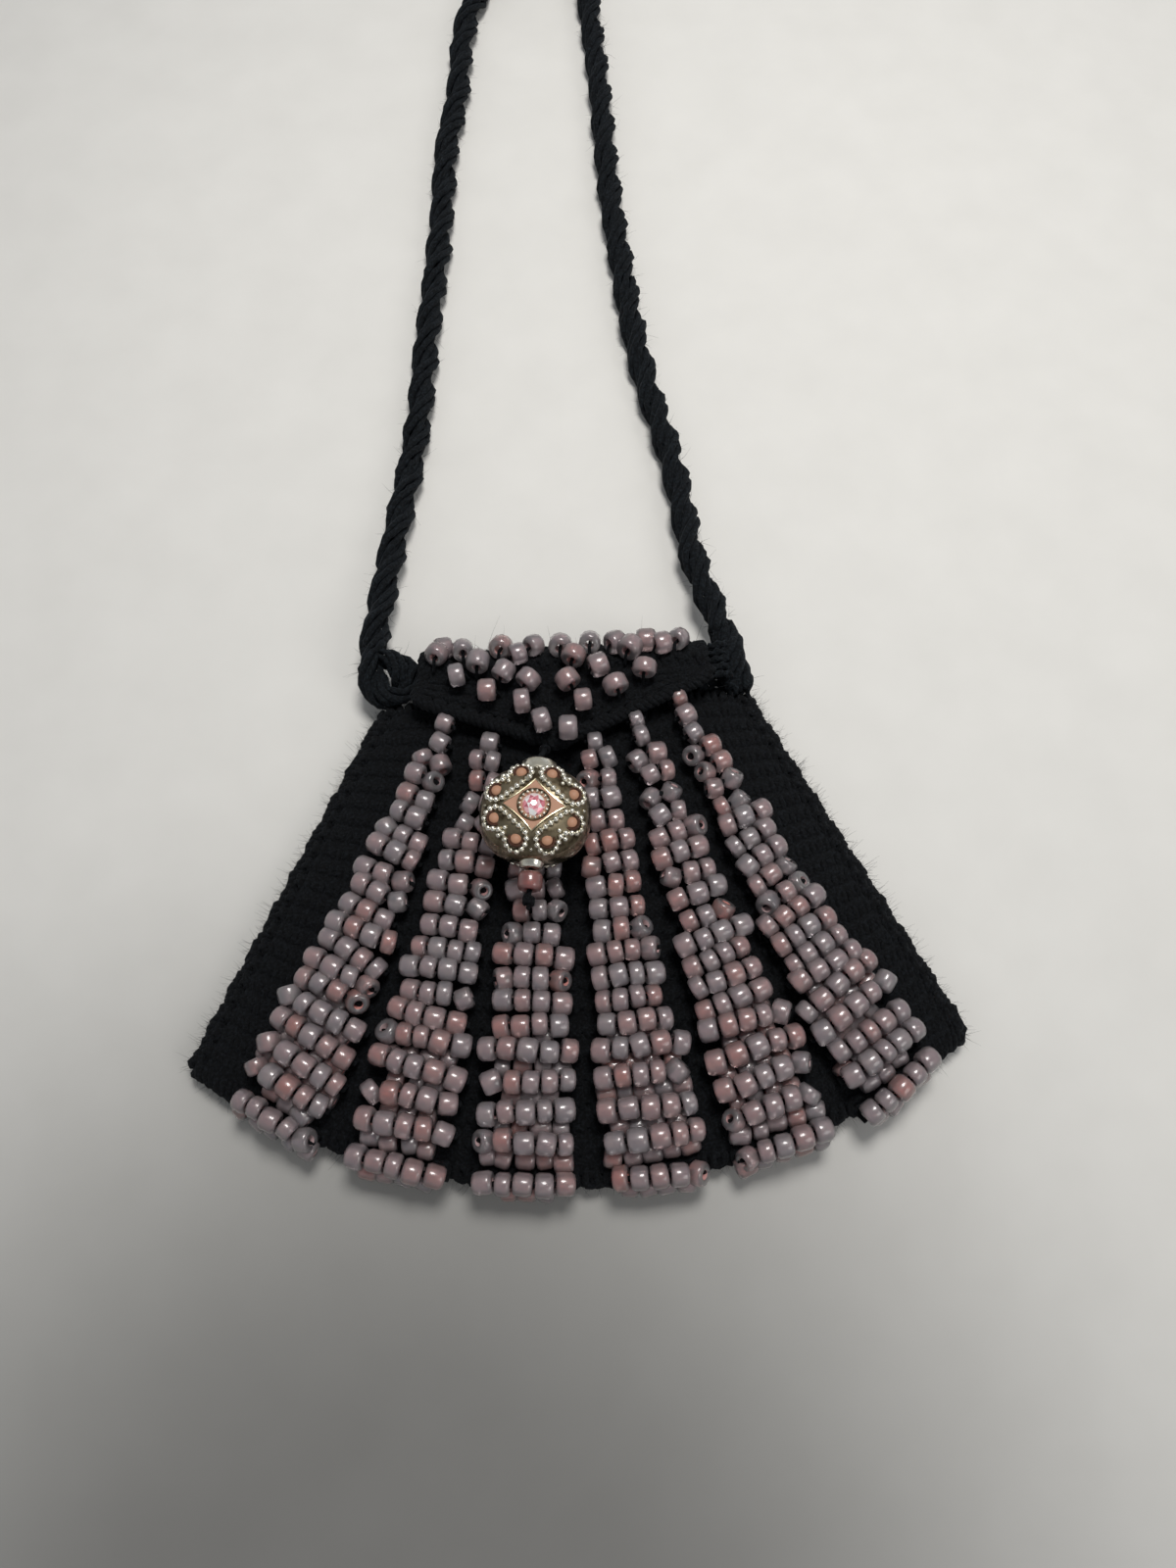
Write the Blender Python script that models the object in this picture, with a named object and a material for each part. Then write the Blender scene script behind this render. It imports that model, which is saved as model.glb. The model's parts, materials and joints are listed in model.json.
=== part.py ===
"""Beaded medicine bag: a small knitted neck pouch, lying on its back with its beaded front up.

+Z is up, +Y points from the pouch to its neck cord, and +X is to the right of the front.
The pouch is a fan: its side edges meet at an apex above the mouth, on the line X = 0.
The origin is under the middle of the pouch, on the surface that it lies on.
"""

import math

import bmesh
import bpy
from mathutils import Matrix, Vector

MM = 0.001

# Pouch outline, with lengths taken down from the apex of the fan
FOLD_FROM_APEX = 37.0 * MM
POUCH_LENGTH = 59.0 * MM
SIDE_ANGLE = math.radians(26.2)
BOTTOM_ARC_RADIUS = 71.0 * MM
MOUTH_BELOW_FOLD = 6.0 * MM

# Knitted fabric
FABRIC_THICKNESS = 1.8 * MM
CLEARANCE = 0.3 * MM
POUCH_SWELL = 1.5 * MM
SWELL_AT_MOUTH = 0.12
GARTER_RIDGES = 22
RIDGE_HEIGHT = 0.25 * MM
EDGE_BUMP = 0.3 * MM
EDGE_THINNING = 0.3

# Flap, with its drops taken down from the outside of the fold
FOLD_HALF_WIDTH = 16.5 * MM
FLAP_CORNER_HALF_WIDTH = 17.4 * MM
FLAP_TIP_DROP = 11.9 * MM
FLAP_LEFT_DROP = 5.8 * MM
FLAP_RIGHT_DROP = 3.9 * MM
FLAP_TIP_OFFSET = -1.2 * MM
FLAP_RISE = 0.6 * MM

# Glass seed beads
BEAD_LENGTH = 2.0 * MM
BEAD_RADIUS = 1.15 * MM
LOOSE_BEAD_RADIUS = 1.35 * MM
BEAD_HOLE_RADIUS = 0.5 * MM
STRAND_RADIUS = 0.35 * MM

# Six columns of bead rows on the front
COLUMN_STEP_TOP = math.radians(3.3)
COLUMN_STEP_BOTTOM = math.radians(4.0)
COLUMN_LEAN_BOTTOM = math.radians(0.35)
ROW_EXTRA_TILT = 0.7
COLUMN_FIRST_ROW = (1, 2, 3, 2, 1, 0)
ROWS_OF_EACH_COUNT = ((1, 3), (2, 4), (3, 5), (4, 4), (5, 5))
FIRST_ROW_BELOW_MOUTH = 1.1 * MM
CLOSE_ROW_PITCH = 2.48 * MM
LOOSE_ROWS = 4
ROW_CROWN = 0.7 * MM
WIDEST_ROW = 5

# Overcast seam yarn
SEAM_YARN_RADIUS = 0.45 * MM
SEAM_STITCH = 2.6 * MM
SEAM_SWAY = 0.85 * MM

# Charm that hangs from the flap's tip
METAL_BEAD_HALF_WIDTH = 5.95 * MM
METAL_BEAD_HALF_LENGTH = 5.4 * MM
METAL_BEAD_HALF_THICKNESS = 3.7 * MM
METAL_BEAD_SQUARENESS = 2.3
METAL_BEAD_BORE_RADIUS = 0.75 * MM
CAP_RADIUS = 1.7 * MM
CAP_PROUD = 0.5 * MM
BEZEL_RADIUS = 2.1 * MM
BEZEL_PROUD = 0.3 * MM
STONE_RADIUS = 1.3 * MM
STONE_HEIGHT = 0.9 * MM
STONE_RECESS = 0.6 * MM
STOPPER_RADIUS = 1.25 * MM
THREAD_RADIUS = 0.3 * MM
KNOT_RADIUS = 0.75 * MM
HANGER_GAP = 0.7 * MM
CHARM_ANGLE = math.radians(6.0)
CHARM_BELOW_TIP = 11.0 * MM
CHARM_OFFSET = -3.7 * MM

# Twisted neck cord
CORD_DIAMETER = 3.4 * MM
COIL_TURNS_ACROSS = 2
COIL_TURNS_HIGH = 2
COIL_MEAN_RADIUS = 18.7 * MM
COIL_CENTRE = Vector((0.0, 171.5 * MM))
CORD_ABOVE_FOLD = 3.1 * MM

# Values worked out from the driving ones
CORD_RADIUS = CORD_DIAMETER / 2
CORD_END_TOP = FOLD_FROM_APEX - CORD_ABOVE_FOLD
BOTTOM_FROM_APEX = FOLD_FROM_APEX + POUCH_LENGTH
APEX_Y = (CORD_END_TOP + BOTTOM_FROM_APEX + BEAD_RADIUS) / 2
FRONT_TOP = FOLD_FROM_APEX + MOUTH_BELOW_FOLD
BOTTOM_ARC_DROP = BOTTOM_FROM_APEX - BOTTOM_ARC_RADIUS
FRONT_UNDERSIDE = FABRIC_THICKNESS + CLEARANCE


def new_material(name, colour, roughness, metallic=0.0):
    """A Principled material of one colour."""
    material = bpy.data.materials.new(name)
    material.use_nodes = True
    shader = material.node_tree.nodes["Principled BSDF"]
    shader.inputs["Base Color"].default_value = (*colour, 1.0)
    shader.inputs["Roughness"].default_value = roughness
    shader.inputs["Metallic"].default_value = metallic
    material.diffuse_color = (*colour, 1.0)
    return material


def clear_scene():
    """Removes every object, and makes the collections for the parts and the cutters."""
    for obj in list(bpy.data.objects):
        bpy.data.objects.remove(obj, do_unlink=True)
    parts = bpy.data.collections.new("beaded_medicine_bag")
    cutters = bpy.data.collections.new("cutters")
    for collection in (parts, cutters):
        bpy.context.scene.collection.children.link(collection)
    cutters.hide_render = True
    return parts, cutters


def place(obj, collection, material=None):
    """Links an object into its collection and gives it its material."""
    collection.objects.link(obj)
    if material:
        obj.data.materials.append(material)
    return obj


def mesh_object(name, bm, collection, material=None, smooth=True):
    """Turns a bmesh into an object with its faces pointing out."""
    bmesh.ops.recalc_face_normals(bm, faces=bm.faces)
    mesh = bpy.data.meshes.new(name)
    bm.to_mesh(mesh)
    bm.free()
    if smooth:
        mesh.shade_smooth()
        mesh.set_sharp_from_angle(angle=math.radians(40))
    return place(bpy.data.objects.new(name, mesh), collection, material)


def cutter(name, bm, cutters):
    """A helper body that a Boolean reads and the build leaves out."""
    obj = mesh_object(name, bm, cutters, smooth=False)
    obj.hide_render = True
    obj.display_type = "WIRE"
    return obj


def combine(obj, other, operation):
    """Adds a Boolean modifier that joins or cuts obj with other."""
    modifier = obj.modifiers.new(operation.title() + " " + other.name, "BOOLEAN")
    modifier.operation = operation
    modifier.object = other
    modifier.solver = "EXACT"


def yarn(name, points, radius, collection, material, factors=None, resolution=1):
    """A tube along straight pieces between the points; factors scale its radius at each point."""
    curve = bpy.data.curves.new(name, "CURVE")
    curve.dimensions = "3D"
    curve.bevel_depth = radius
    curve.bevel_resolution = resolution
    curve.use_fill_caps = True
    spline = curve.splines.new("POLY")
    spline.points.add(len(points) - 1)
    for index, point in enumerate(points):
        spline.points[index].co = (*point, 1.0)
        spline.points[index].radius = factors[index] if factors else 1.0
    return place(bpy.data.objects.new(name, curve), collection, material)


def knitted_sheet(name, rows, columns, inner, outer, collection, material):
    """A closed sheet from a grid: inner(row, across) and outer(row, across) place its two faces.

    row runs from 0 to rows and across from -1 to 1.
    """
    bm = bmesh.new()
    bmesh.ops.create_grid(bm, x_segments=columns, y_segments=rows, size=0.5)
    lower = bm.verts[:]
    lifted = bmesh.ops.extrude_face_region(bm, geom=bm.faces[:])["geom"]
    upper = [item for item in lifted if isinstance(item, bmesh.types.BMVert)]
    for face, verts in ((inner, lower), (outer, upper)):
        for vert in verts:
            vert.co = face(round((vert.co.y + 0.5) * rows), 2 * vert.co.x)
    return mesh_object(name, bm, collection, material)


def fan_point(down, angle):
    """(x, y) on the fan: down is 0 at the mouth and 1 at the bottom edge."""
    top = FRONT_TOP / math.cos(angle)
    across = BOTTOM_ARC_DROP * math.sin(angle)
    bottom = BOTTOM_ARC_DROP * math.cos(angle) + math.sqrt(BOTTOM_ARC_RADIUS**2 - across**2)
    reach = top + down * (bottom - top)
    return reach * math.sin(angle), APEX_Y - reach * math.cos(angle)


def swell(down, across):
    """How far the front stands up from the back: most in the middle, nothing at the seams."""
    along = math.sin(math.pi * (SWELL_AT_MOUTH + (1 - SWELL_AT_MOUTH) * down))
    return POUCH_SWELL * along * (1 - across**2)


def front_crest(down, across):
    """Height of the front's ridges, which the beads lie on."""
    thinning = EDGE_THINNING * (across**8 + down**16)
    top = FRONT_UNDERSIDE + swell(down, across) + FABRIC_THICKNESS * (1 - thinning)
    return top + RIDGE_HEIGHT


def bumped_point(down, across, bump, z):
    """A point on the fan, pushed out by bump where it is on a side edge."""
    x, y = fan_point(down, across * SIDE_ANGLE)
    push = bump * across**5
    return Vector((x + push * math.cos(SIDE_ANGLE), y + abs(push) * math.sin(SIDE_ANGLE), z))


def make_front(parts, fabric):
    """The front panel: garter ridges across, slightly swollen, thinner towards its edges."""
    rows = 2 * GARTER_RIDGES

    def inner(row, across):
        down = row / rows
        z = FRONT_UNDERSIDE + swell(down, across)
        return bumped_point(down, across, EDGE_BUMP * (row % 2), z)

    def outer(row, across):
        down = row / rows
        z = front_crest(down, across) - RIDGE_HEIGHT * (1 - row % 2)
        return bumped_point(down, across, EDGE_BUMP * (row % 2), z)

    return knitted_sheet("front_panel", rows, 10, inner, outer, parts, fabric)


# The fold of the back over the mouth: a half turn whose inside clears the front
FLAP_UNDERSIDE = front_crest(0.0, 0.0) + CLEARANCE
FOLD_RADIUS = FLAP_UNDERSIDE / 2
FOLD_Z = FABRIC_THICKNESS / 2 + FOLD_RADIUS
FOLD_OUTER_RADIUS = FOLD_RADIUS + FABRIC_THICKNESS / 2
FOLD_Y = APEX_Y - FOLD_FROM_APEX - FOLD_OUTER_RADIUS
FLAP_TOP = FOLD_Z + FOLD_OUTER_RADIUS


def flap_length(across):
    """Length of the flap past its fold: a shallow V with its tip near the middle."""
    corner = FLAP_LEFT_DROP if across < 0 else FLAP_RIGHT_DROP
    drop = FLAP_TIP_DROP + (corner - FLAP_TIP_DROP) * abs(across)
    return drop - FOLD_OUTER_RADIUS


def make_back(parts, fabric):
    """The back panel, the fold over the mouth and the flap: one knitted sheet."""
    back_rows, neck_rows, fold_rows, flap_rows = 5, 1, 6, 8
    neck_start = back_rows
    fold_start = neck_start + neck_rows
    flap_start = fold_start + fold_rows
    rows = flap_start + flap_rows

    def middle(row, across):
        """The point half way through the fabric, and the direction of its outer face."""
        if row <= neck_start:
            x, y = fan_point(1 - row / back_rows, across * SIDE_ANGLE)
            return Vector((x, y, FABRIC_THICKNESS / 2)), Vector((0, 0, -1))
        if row <= flap_start:
            turn = math.pi * (row - fold_start) / fold_rows
            out = Vector((0, math.sin(turn), -math.cos(turn)))
            return Vector((across * FOLD_HALF_WIDTH, FOLD_Y, FOLD_Z)) + out * FOLD_RADIUS, out
        share = (row - flap_start) / flap_rows
        half = FOLD_HALF_WIDTH + share * (FLAP_CORNER_HALF_WIDTH - FOLD_HALF_WIDTH)
        x = across * half + share * FLAP_TIP_OFFSET * (1 - abs(across))
        z = FOLD_Z + FOLD_RADIUS + share * FLAP_RISE
        return Vector((x, FOLD_Y - share * flap_length(across), z)), Vector((0, 0, 1))

    def inner(row, across):
        point, out = middle(row, across)
        return point - out * FABRIC_THICKNESS / 2

    def outer(row, across):
        point, out = middle(row, across)
        ridge = RIDGE_HEIGHT if row > flap_start and row % 2 else 0.0
        return point + out * (FABRIC_THICKNESS / 2 - ridge)

    return knitted_sheet("back_and_flap", rows, 10, inner, outer, parts, fabric)


def row_places():
    """The distance down and the number of beads of each row in a full column."""
    counts = [beads for beads, rows in ROWS_OF_EACH_COUNT for _ in range(rows)]
    close = len(counts) - LOOSE_ROWS
    length = POUCH_LENGTH - MOUTH_BELOW_FOLD
    downs = [(FIRST_ROW_BELOW_MOUTH + CLOSE_ROW_PITCH * row) / length for row in range(close)]
    step = (1.0 - downs[-1]) / LOOSE_ROWS
    downs += [downs[-1] + step * (row + 1) for row in range(LOOSE_ROWS)]
    return list(zip(downs, counts))


def column_angle(column, down):
    """Angle of a column from the middle line, for columns 1 to 6 from left to right."""
    step = COLUMN_STEP_TOP + (COLUMN_STEP_BOTTOM - COLUMN_STEP_TOP) * down
    return (2 * column - 7) * step + COLUMN_LEAN_BOTTOM * down


def row_tilt(angle):
    """Slope of the rows in a column at an angle: the outer columns' rows tilt more than their column."""
    return angle * (1 + ROW_EXTRA_TILT * (angle / (5 * COLUMN_STEP_BOTTOM)) ** 2)


def make_column(column, parts, glass):
    """One column of bead rows, as the beads' outer shape on their yarn, which runs to and fro."""
    points, factors = [], []
    rows = row_places()[COLUMN_FIRST_ROW[column - 1]:]
    for number, (down, beads) in enumerate(rows):
        angle = column_angle(column, down)
        x, y = fan_point(down, angle)
        seat = front_crest(min(down, 1.0), angle / SIDE_ANGLE) + CLEARANCE + BEAD_RADIUS
        tilt = row_tilt(angle)
        along = Vector((math.cos(tilt), math.sin(tilt), 0))
        side = 1 if number % 2 else -1
        half = beads * BEAD_LENGTH / 2
        for step in range(2 * beads + 1):
            offset = step * BEAD_LENGTH / 2 - half
            crown = ROW_CROWN * (beads / WIDEST_ROW) * (1 - (offset / half) ** 2)
            points.append(Vector((x, y, seat + crown)) - side * offset * along)
            factors.append(1.0 if step % 2 else STRAND_RADIUS / BEAD_RADIUS)
    return yarn(f"bead_column_{column}", points, BEAD_RADIUS, parts, glass, factors)


def make_seam(name, route, parts, fabric):
    """Overcast yarn along an edge, swaying up and down between the two panels' edges."""
    middle = FABRIC_THICKNESS + CLEARANCE / 2
    length = sum((b - a).length for a, b in zip(route, route[1:]))
    stitches = round(2 * length / SEAM_STITCH)
    points = []
    for number in range(stitches + 1):
        spot = along_route(route, number / stitches)
        points.append(Vector((*spot, middle + SEAM_SWAY * (1 if number % 2 else -1))))
    return yarn(name, points, SEAM_YARN_RADIUS, parts, fabric)


def along_route(route, share):
    """The point at a share of a route's length."""
    lengths = [(b - a).length for a, b in zip(route, route[1:])]
    left = share * sum(lengths)
    for start, end, length in zip(route, route[1:], lengths):
        if left <= length:
            return start.lerp(end, left / length)
        left -= length
    return route[-1].copy()


def make_seams(parts, fabric):
    """The two side seams and the bottom seam, just outside the panels' edges."""
    out = EDGE_BUMP + CLEARANCE + SEAM_YARN_RADIUS
    for name, side in (("seam_left", -1), ("seam_right", 1)):
        normal = Vector((side * math.cos(SIDE_ANGLE), math.sin(SIDE_ANGLE)))
        ends = [Vector(fan_point(down, side * SIDE_ANGLE)) + out * normal for down in (0.02, 0.97)]
        make_seam(name, ends, parts, fabric)
    centre = Vector((0, APEX_Y - BOTTOM_ARC_DROP))
    arc = []
    for step in range(25):
        x, y = fan_point(1.0, SIDE_ANGLE * 0.97 * (step / 12 - 1))
        spot = Vector((x, y)) - centre
        arc.append(centre + spot * (1 + (CLEARANCE + SEAM_YARN_RADIUS) / spot.length))
    make_seam("seam_bottom", arc, parts, fabric)


# Loose beads on the flap: share of the half width, mm from the fold's top towards the tip, turn in degrees
FLAP_BEADS = (
    (-0.89, -1.7, 70), (-0.85, -3.9, 20), (-0.71, -2.3, 95), (-0.75, 0.7, 10),
    (-0.60, -0.7, 80), (-0.54, 2.8, 0), (-0.44, -3.1, 75), (-0.42, 0.4, 60),
    (-0.32, -1.3, 20), (-0.30, 4.4, 5), (-0.25, 1.6, 50), (-0.21, -3.4, 40),
    (-0.17, 6.9, 15), (-0.02, -2.7, 85), (0.01, 8.0, 0), (0.02, 1.8, 120),
    (0.07, -0.9, 70), (0.12, 4.5, 5), (0.19, -3.9, 85), (0.24, 0.1, 20),
    (0.35, 2.7, 110), (0.37, -3.2, 30), (0.47, -1.6, 60), (0.56, 0.7, 80),
    (0.59, -3.8, 0), (0.70, -2.0, 15), (0.82, -3.8, 60),
)


def turned_bead(name, radius, length, parts, glass):
    """A short ring with a hole, turned about its local X axis."""
    half = length / 2
    bore = BEAD_HOLE_RADIUS
    bm = bmesh.new()
    profile = [(-half, bore), (half, bore), (half * 0.75, radius), (-half * 0.75, radius)]
    verts = [bm.verts.new((x, 0, r)) for x, r in profile]
    edges = [bm.edges.new((a, b)) for a, b in zip(verts, verts[1:] + verts[:1])]
    bmesh.ops.spin(bm, geom=verts + edges, axis=(1, 0, 0), cent=(0, 0, 0),
                   angle=2 * math.pi, steps=7, use_merge=True)
    return mesh_object(name, bm, parts, glass)


def make_flap_beads(parts, glass):
    """Single beads sewn on the flap and over its fold."""
    for number, (across, along, turn) in enumerate(FLAP_BEADS, 1):
        bead = turned_bead(f"flap_bead_{number:02d}", LOOSE_BEAD_RADIUS, BEAD_LENGTH, parts, glass)
        lift = CLEARANCE + LOOSE_BEAD_RADIUS
        reach = along * MM
        lean = max(-reach, 0.0) / FOLD_OUTER_RADIUS
        rise = FLAP_RISE * max(reach, 0.0) / (FLAP_TIP_DROP - FOLD_OUTER_RADIUS)
        y = FOLD_Y - max(reach, 0.0) + (FOLD_OUTER_RADIUS + lift) * math.sin(lean)
        z = FOLD_Z + rise + (FOLD_OUTER_RADIUS + lift) * math.cos(lean)
        bead.matrix_world = (
            Matrix.Translation((across * FOLD_HALF_WIDTH, y, z))
            @ Matrix.Rotation(-lean, 4, "X")
            @ Matrix.Rotation(math.radians(turn), 4, "Z")
        )


def charm_frame():
    """The charm's own frame: its thread runs along local Y, from the tip down, and its face is up."""
    y = APEX_Y - FOLD_FROM_APEX - FLAP_TIP_DROP - CHARM_BELOW_TIP
    length = POUCH_LENGTH - MOUTH_BELOW_FOLD
    down = (FLAP_TIP_DROP + CHARM_BELOW_TIP + METAL_BEAD_HALF_LENGTH - MOUTH_BELOW_FOLD) / length
    seat = front_crest(down, 0.0) + CLEARANCE + 2 * BEAD_RADIUS + ROW_CROWN * 3 / WIDEST_ROW
    z = seat + CLEARANCE + METAL_BEAD_HALF_THICKNESS
    return Matrix.Translation((CHARM_OFFSET, y, z)) @ Matrix.Rotation(-CHARM_ANGLE, 4, "Z")


def pivot_point():
    """Where the charm's thread leaves the flap's tip."""
    x = CHARM_OFFSET + math.sin(CHARM_ANGLE) * CHARM_BELOW_TIP
    y = APEX_Y - FOLD_FROM_APEX - FLAP_TIP_DROP - CLEARANCE - KNOT_RADIUS
    return Vector((x, y, FOLD_Z + FOLD_RADIUS + FLAP_RISE))


def cushion(bm, half_width, half_length, half_thickness):
    """Shapes a sphere into a domed cushion with a plain band round its middle."""
    bmesh.ops.create_uvsphere(bm, u_segments=16, v_segments=8, radius=1.0)
    for vert in bm.verts:
        plan = math.hypot(vert.co.x, vert.co.y)
        lift = vert.co.z
        if plan > 1e-6:
            across, along = abs(vert.co.x) / plan / half_width, abs(vert.co.y) / plan / half_length
            norm = (across**METAL_BEAD_SQUARENESS + along**METAL_BEAD_SQUARENESS)
            scale = plan**0.55 / norm ** (1 / METAL_BEAD_SQUARENESS)
            vert.co.x *= scale / plan
            vert.co.y *= scale / plan
        vert.co.z = half_thickness * math.copysign(abs(lift) ** 1.1, lift)


def cylinder(bm, radius, length, middle, along_y=False, segments=12):
    """A closed cylinder about its middle, along Z or along Y."""
    turn = Matrix.Rotation(math.pi / 2, 4, "X") if along_y else Matrix.Identity(4)
    bmesh.ops.create_cone(bm, cap_ends=True, segments=segments, radius1=radius, radius2=radius,
                          depth=length, matrix=Matrix.Translation(middle) @ turn)


def make_metal_bead(frame, parts, cutters, metal):
    """The cast bead: domed cushion, a collar at each end of its bore, and a setting for the stone."""
    bm = bmesh.new()
    cushion(bm, METAL_BEAD_HALF_WIDTH, METAL_BEAD_HALF_LENGTH, METAL_BEAD_HALF_THICKNESS)
    bead = mesh_object("metal_bead", bm, parts, metal)
    bead.matrix_world = frame
    top = METAL_BEAD_HALF_THICKNESS
    reach = METAL_BEAD_HALF_LENGTH + CAP_PROUD
    tools = []
    bm = bmesh.new()
    cylinder(bm, CAP_RADIUS, 2 * reach, (0, 0, 0), along_y=True)
    tools.append((cutter("bead_collars", bm, cutters), "UNION"))
    bm = bmesh.new()
    cylinder(bm, BEZEL_RADIUS, top, (0, 0, top / 2 + BEZEL_PROUD))
    tools.append((cutter("stone_setting", bm, cutters), "UNION"))
    bm = bmesh.new()
    cylinder(bm, STONE_RADIUS + CLEARANCE, top, (0, 0, 1.5 * top + BEZEL_PROUD - STONE_RECESS))
    tools.append((cutter("stone_recess", bm, cutters), "DIFFERENCE"))
    bm = bmesh.new()
    cylinder(bm, METAL_BEAD_BORE_RADIUS, 3 * reach, (0, 0, 0), along_y=True, segments=10)
    tools.append((cutter("bead_bore", bm, cutters), "DIFFERENCE"))
    for tool, operation in tools:
        tool.matrix_world = frame
        combine(bead, tool, operation)
    return bead


def make_stone(frame, parts, crystal):
    """The faceted stone: a low girdle and a sloping crown under a flat table."""
    bm = bmesh.new()
    floor = METAL_BEAD_HALF_THICKNESS + BEZEL_PROUD - STONE_RECESS + CLEARANCE
    made = bmesh.ops.create_cone(bm, cap_ends=True, segments=8, radius1=STONE_RADIUS,
                                 radius2=STONE_RADIUS * 0.6, depth=STONE_HEIGHT)
    bmesh.ops.translate(bm, verts=made["verts"], vec=(0, 0, floor + STONE_HEIGHT / 2))
    stone = mesh_object("rhinestone", bm, parts, crystal, smooth=False)
    stone.matrix_world = frame
    return stone


def make_charm(parts, cutters, metal, crystal, pink, fabric):
    """The charm: metal bead with its stone, stopper bead, and the thread that carries them.

    The thread bends at the mouth of the metal bead's bore, so it is one solid on each side of it.
    """
    frame = charm_frame()
    make_metal_bead(frame, parts, cutters, metal)
    make_stone(frame, parts, crystal)
    reach = METAL_BEAD_HALF_LENGTH + CAP_PROUD
    knot = KNOT_RADIUS / THREAD_RADIUS
    start, mouth = pivot_point(), frame @ Vector((0, reach + HANGER_GAP, 0))
    hanger = [start, start.lerp(mouth, 0.25), mouth]
    yarn("hang_thread", hanger, THREAD_RADIUS, parts, fabric, [knot, 1.0, 1.0])
    stop = -(reach + CLEARANCE + BEAD_LENGTH / 2)
    end = stop - BEAD_LENGTH / 2 - CLEARANCE - KNOT_RADIUS
    places = (reach, 0.0, stop + BEAD_LENGTH, end + KNOT_RADIUS, end, end - KNOT_RADIUS)
    points = [frame @ Vector((0, y, 0)) for y in places]
    factors = [1.0, 1.0, 1.0, 1.0, knot, 1.0]
    yarn("charm_thread", points, THREAD_RADIUS, parts, fabric, factors)
    stopper = turned_bead("stopper_bead", STOPPER_RADIUS, BEAD_LENGTH, parts, pink)
    stopper.matrix_world = (
        frame @ Matrix.Translation((0, stop, 0)) @ Matrix.Rotation(math.pi / 2, 4, "Z")
    )


# Routes of the neck cord as (x, y, z) in mm, from the pouch's corners to the coil
CORD_LEFT_ROUTE = (
    (-22.7, 30.6, 4.2), (-22.0, 36.6, 3.4), (-20.7, 46.0, 2.3), (-19.0, 56.0, 1.8), (-17.6, 66.0, 1.7),
    (-16.8, 76.0, 1.7), (-15.8, 86.0, 1.7), (-14.8, 96.0, 1.7), (-14.2, 106.0, 1.7), (-13.6, 114.0, 1.7),
    (-12.2, 122.0, 1.7), (-11.6, 130.0, 1.7), (-10.8, 137.0, 1.7), (-8.9, 143.6, 1.7), (-5.2, 149.1, 1.7),
)
CORD_RIGHT_ROUTE = (
    (19.3, 30.9, 4.2), (18.1, 35.8, 3.5), (16.6, 43.0, 2.5), (15.8, 52.0, 1.8), (14.6, 60.0, 1.7),
    (12.7, 69.0, 1.7), (11.3, 79.0, 1.7), (10.5, 89.0, 1.7), (9.7, 99.0, 1.7), (9.3, 109.0, 1.7),
    (9.1, 119.0, 1.7), (8.8, 128.0, 1.7), (8.4, 136.0, 1.7), (7.9, 142.6, 1.8), (5.6, 149.0, 2.6),
)
# Ends of the cord sewn to the pouch's corners, with the share of the cord's radius at each point
CORD_LOOP_LEFT = (
    (-22.75, 30.15, 4.25, 1.0), (-22.95, 28.4, 4.4, 1.0), (-22.8, 26.4, 3.9, 0.95), (-21.7, 24.8, 3.6, 0.9),
    (-20.2, 24.3, 3.6, 0.85), (-19.2, 25.5, 3.7, 0.8), (-19.1, 27.2, 4.0, 0.7), (-19.8, 28.3, 4.3, 0.5),
)
CORD_KNOT_RIGHT = (
    (19.42, 30.45, 4.25, 1.0), (19.9, 29.0, 4.4, 1.1), (20.5, 27.5, 4.3, 1.2), (21.0, 26.0, 4.0, 1.15),
    (21.2, 24.6, 3.8, 0.85), (21.1, 22.9, 3.7, 0.5),
)
CORD_POINTS = 20


def smooth_route(route, count):
    """Points at even steps of a smooth curve through the route's own points."""
    spots = [Vector(point) * MM for point in route]
    first = 2 * spots[0] - spots[1]
    last = 2 * spots[-1] - spots[-2]
    spots = [first] + spots + [last]
    fine = []
    for a, b, c, d in zip(spots, spots[1:], spots[2:], spots[3:]):
        for step in range(8):
            t = step / 8
            fine.append(
                0.5 * (2 * b + (c - a) * t + (2 * a - 5 * b + 4 * c - d) * t**2
                       + (3 * b - a - 3 * c + d) * t**3)
            )
    fine.append(spots[-2])
    return [along_route(fine, step / (count - 1)) for step in range(count)]


def make_cord(parts, fabric):
    """The neck cord: its two free runs, its sewn ends and the coil of the rest."""
    for name, route in (("cord_left", CORD_LEFT_ROUTE), ("cord_right", CORD_RIGHT_ROUTE)):
        yarn(name, smooth_route(route, CORD_POINTS), CORD_RADIUS, parts, fabric, resolution=2)
    for name, route in (("cord_end_left", CORD_LOOP_LEFT), ("cord_end_right", CORD_KNOT_RIGHT)):
        points = [Vector(point[:3]) * MM for point in route]
        factors = [point[3] for point in route]
        yarn(name, points, CORD_RADIUS, parts, fabric, factors, resolution=2)
    make_coil(parts, fabric)


def make_coil(parts, fabric):
    """The outer shape of the coil that the rest of the cord is wound into."""
    half = COIL_TURNS_ACROSS * CORD_DIAMETER / 2
    height = COIL_TURNS_HIGH * CORD_DIAMETER
    bm = bmesh.new()
    section = [(-half, 0), (half, 0), (half, height), (-half, height)]
    verts = [bm.verts.new((COIL_MEAN_RADIUS + x, 0, z)) for x, z in section]
    edges = [bm.edges.new((a, b)) for a, b in zip(verts, verts[1:] + verts[:1])]
    bmesh.ops.spin(bm, geom=verts + edges, axis=(0, 0, 1), cent=(0, 0, 0),
                   angle=2 * math.pi, steps=32, use_merge=True)
    coil = mesh_object("cord_coil", bm, parts, fabric)
    coil.location = (*COIL_CENTRE, 0)


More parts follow.
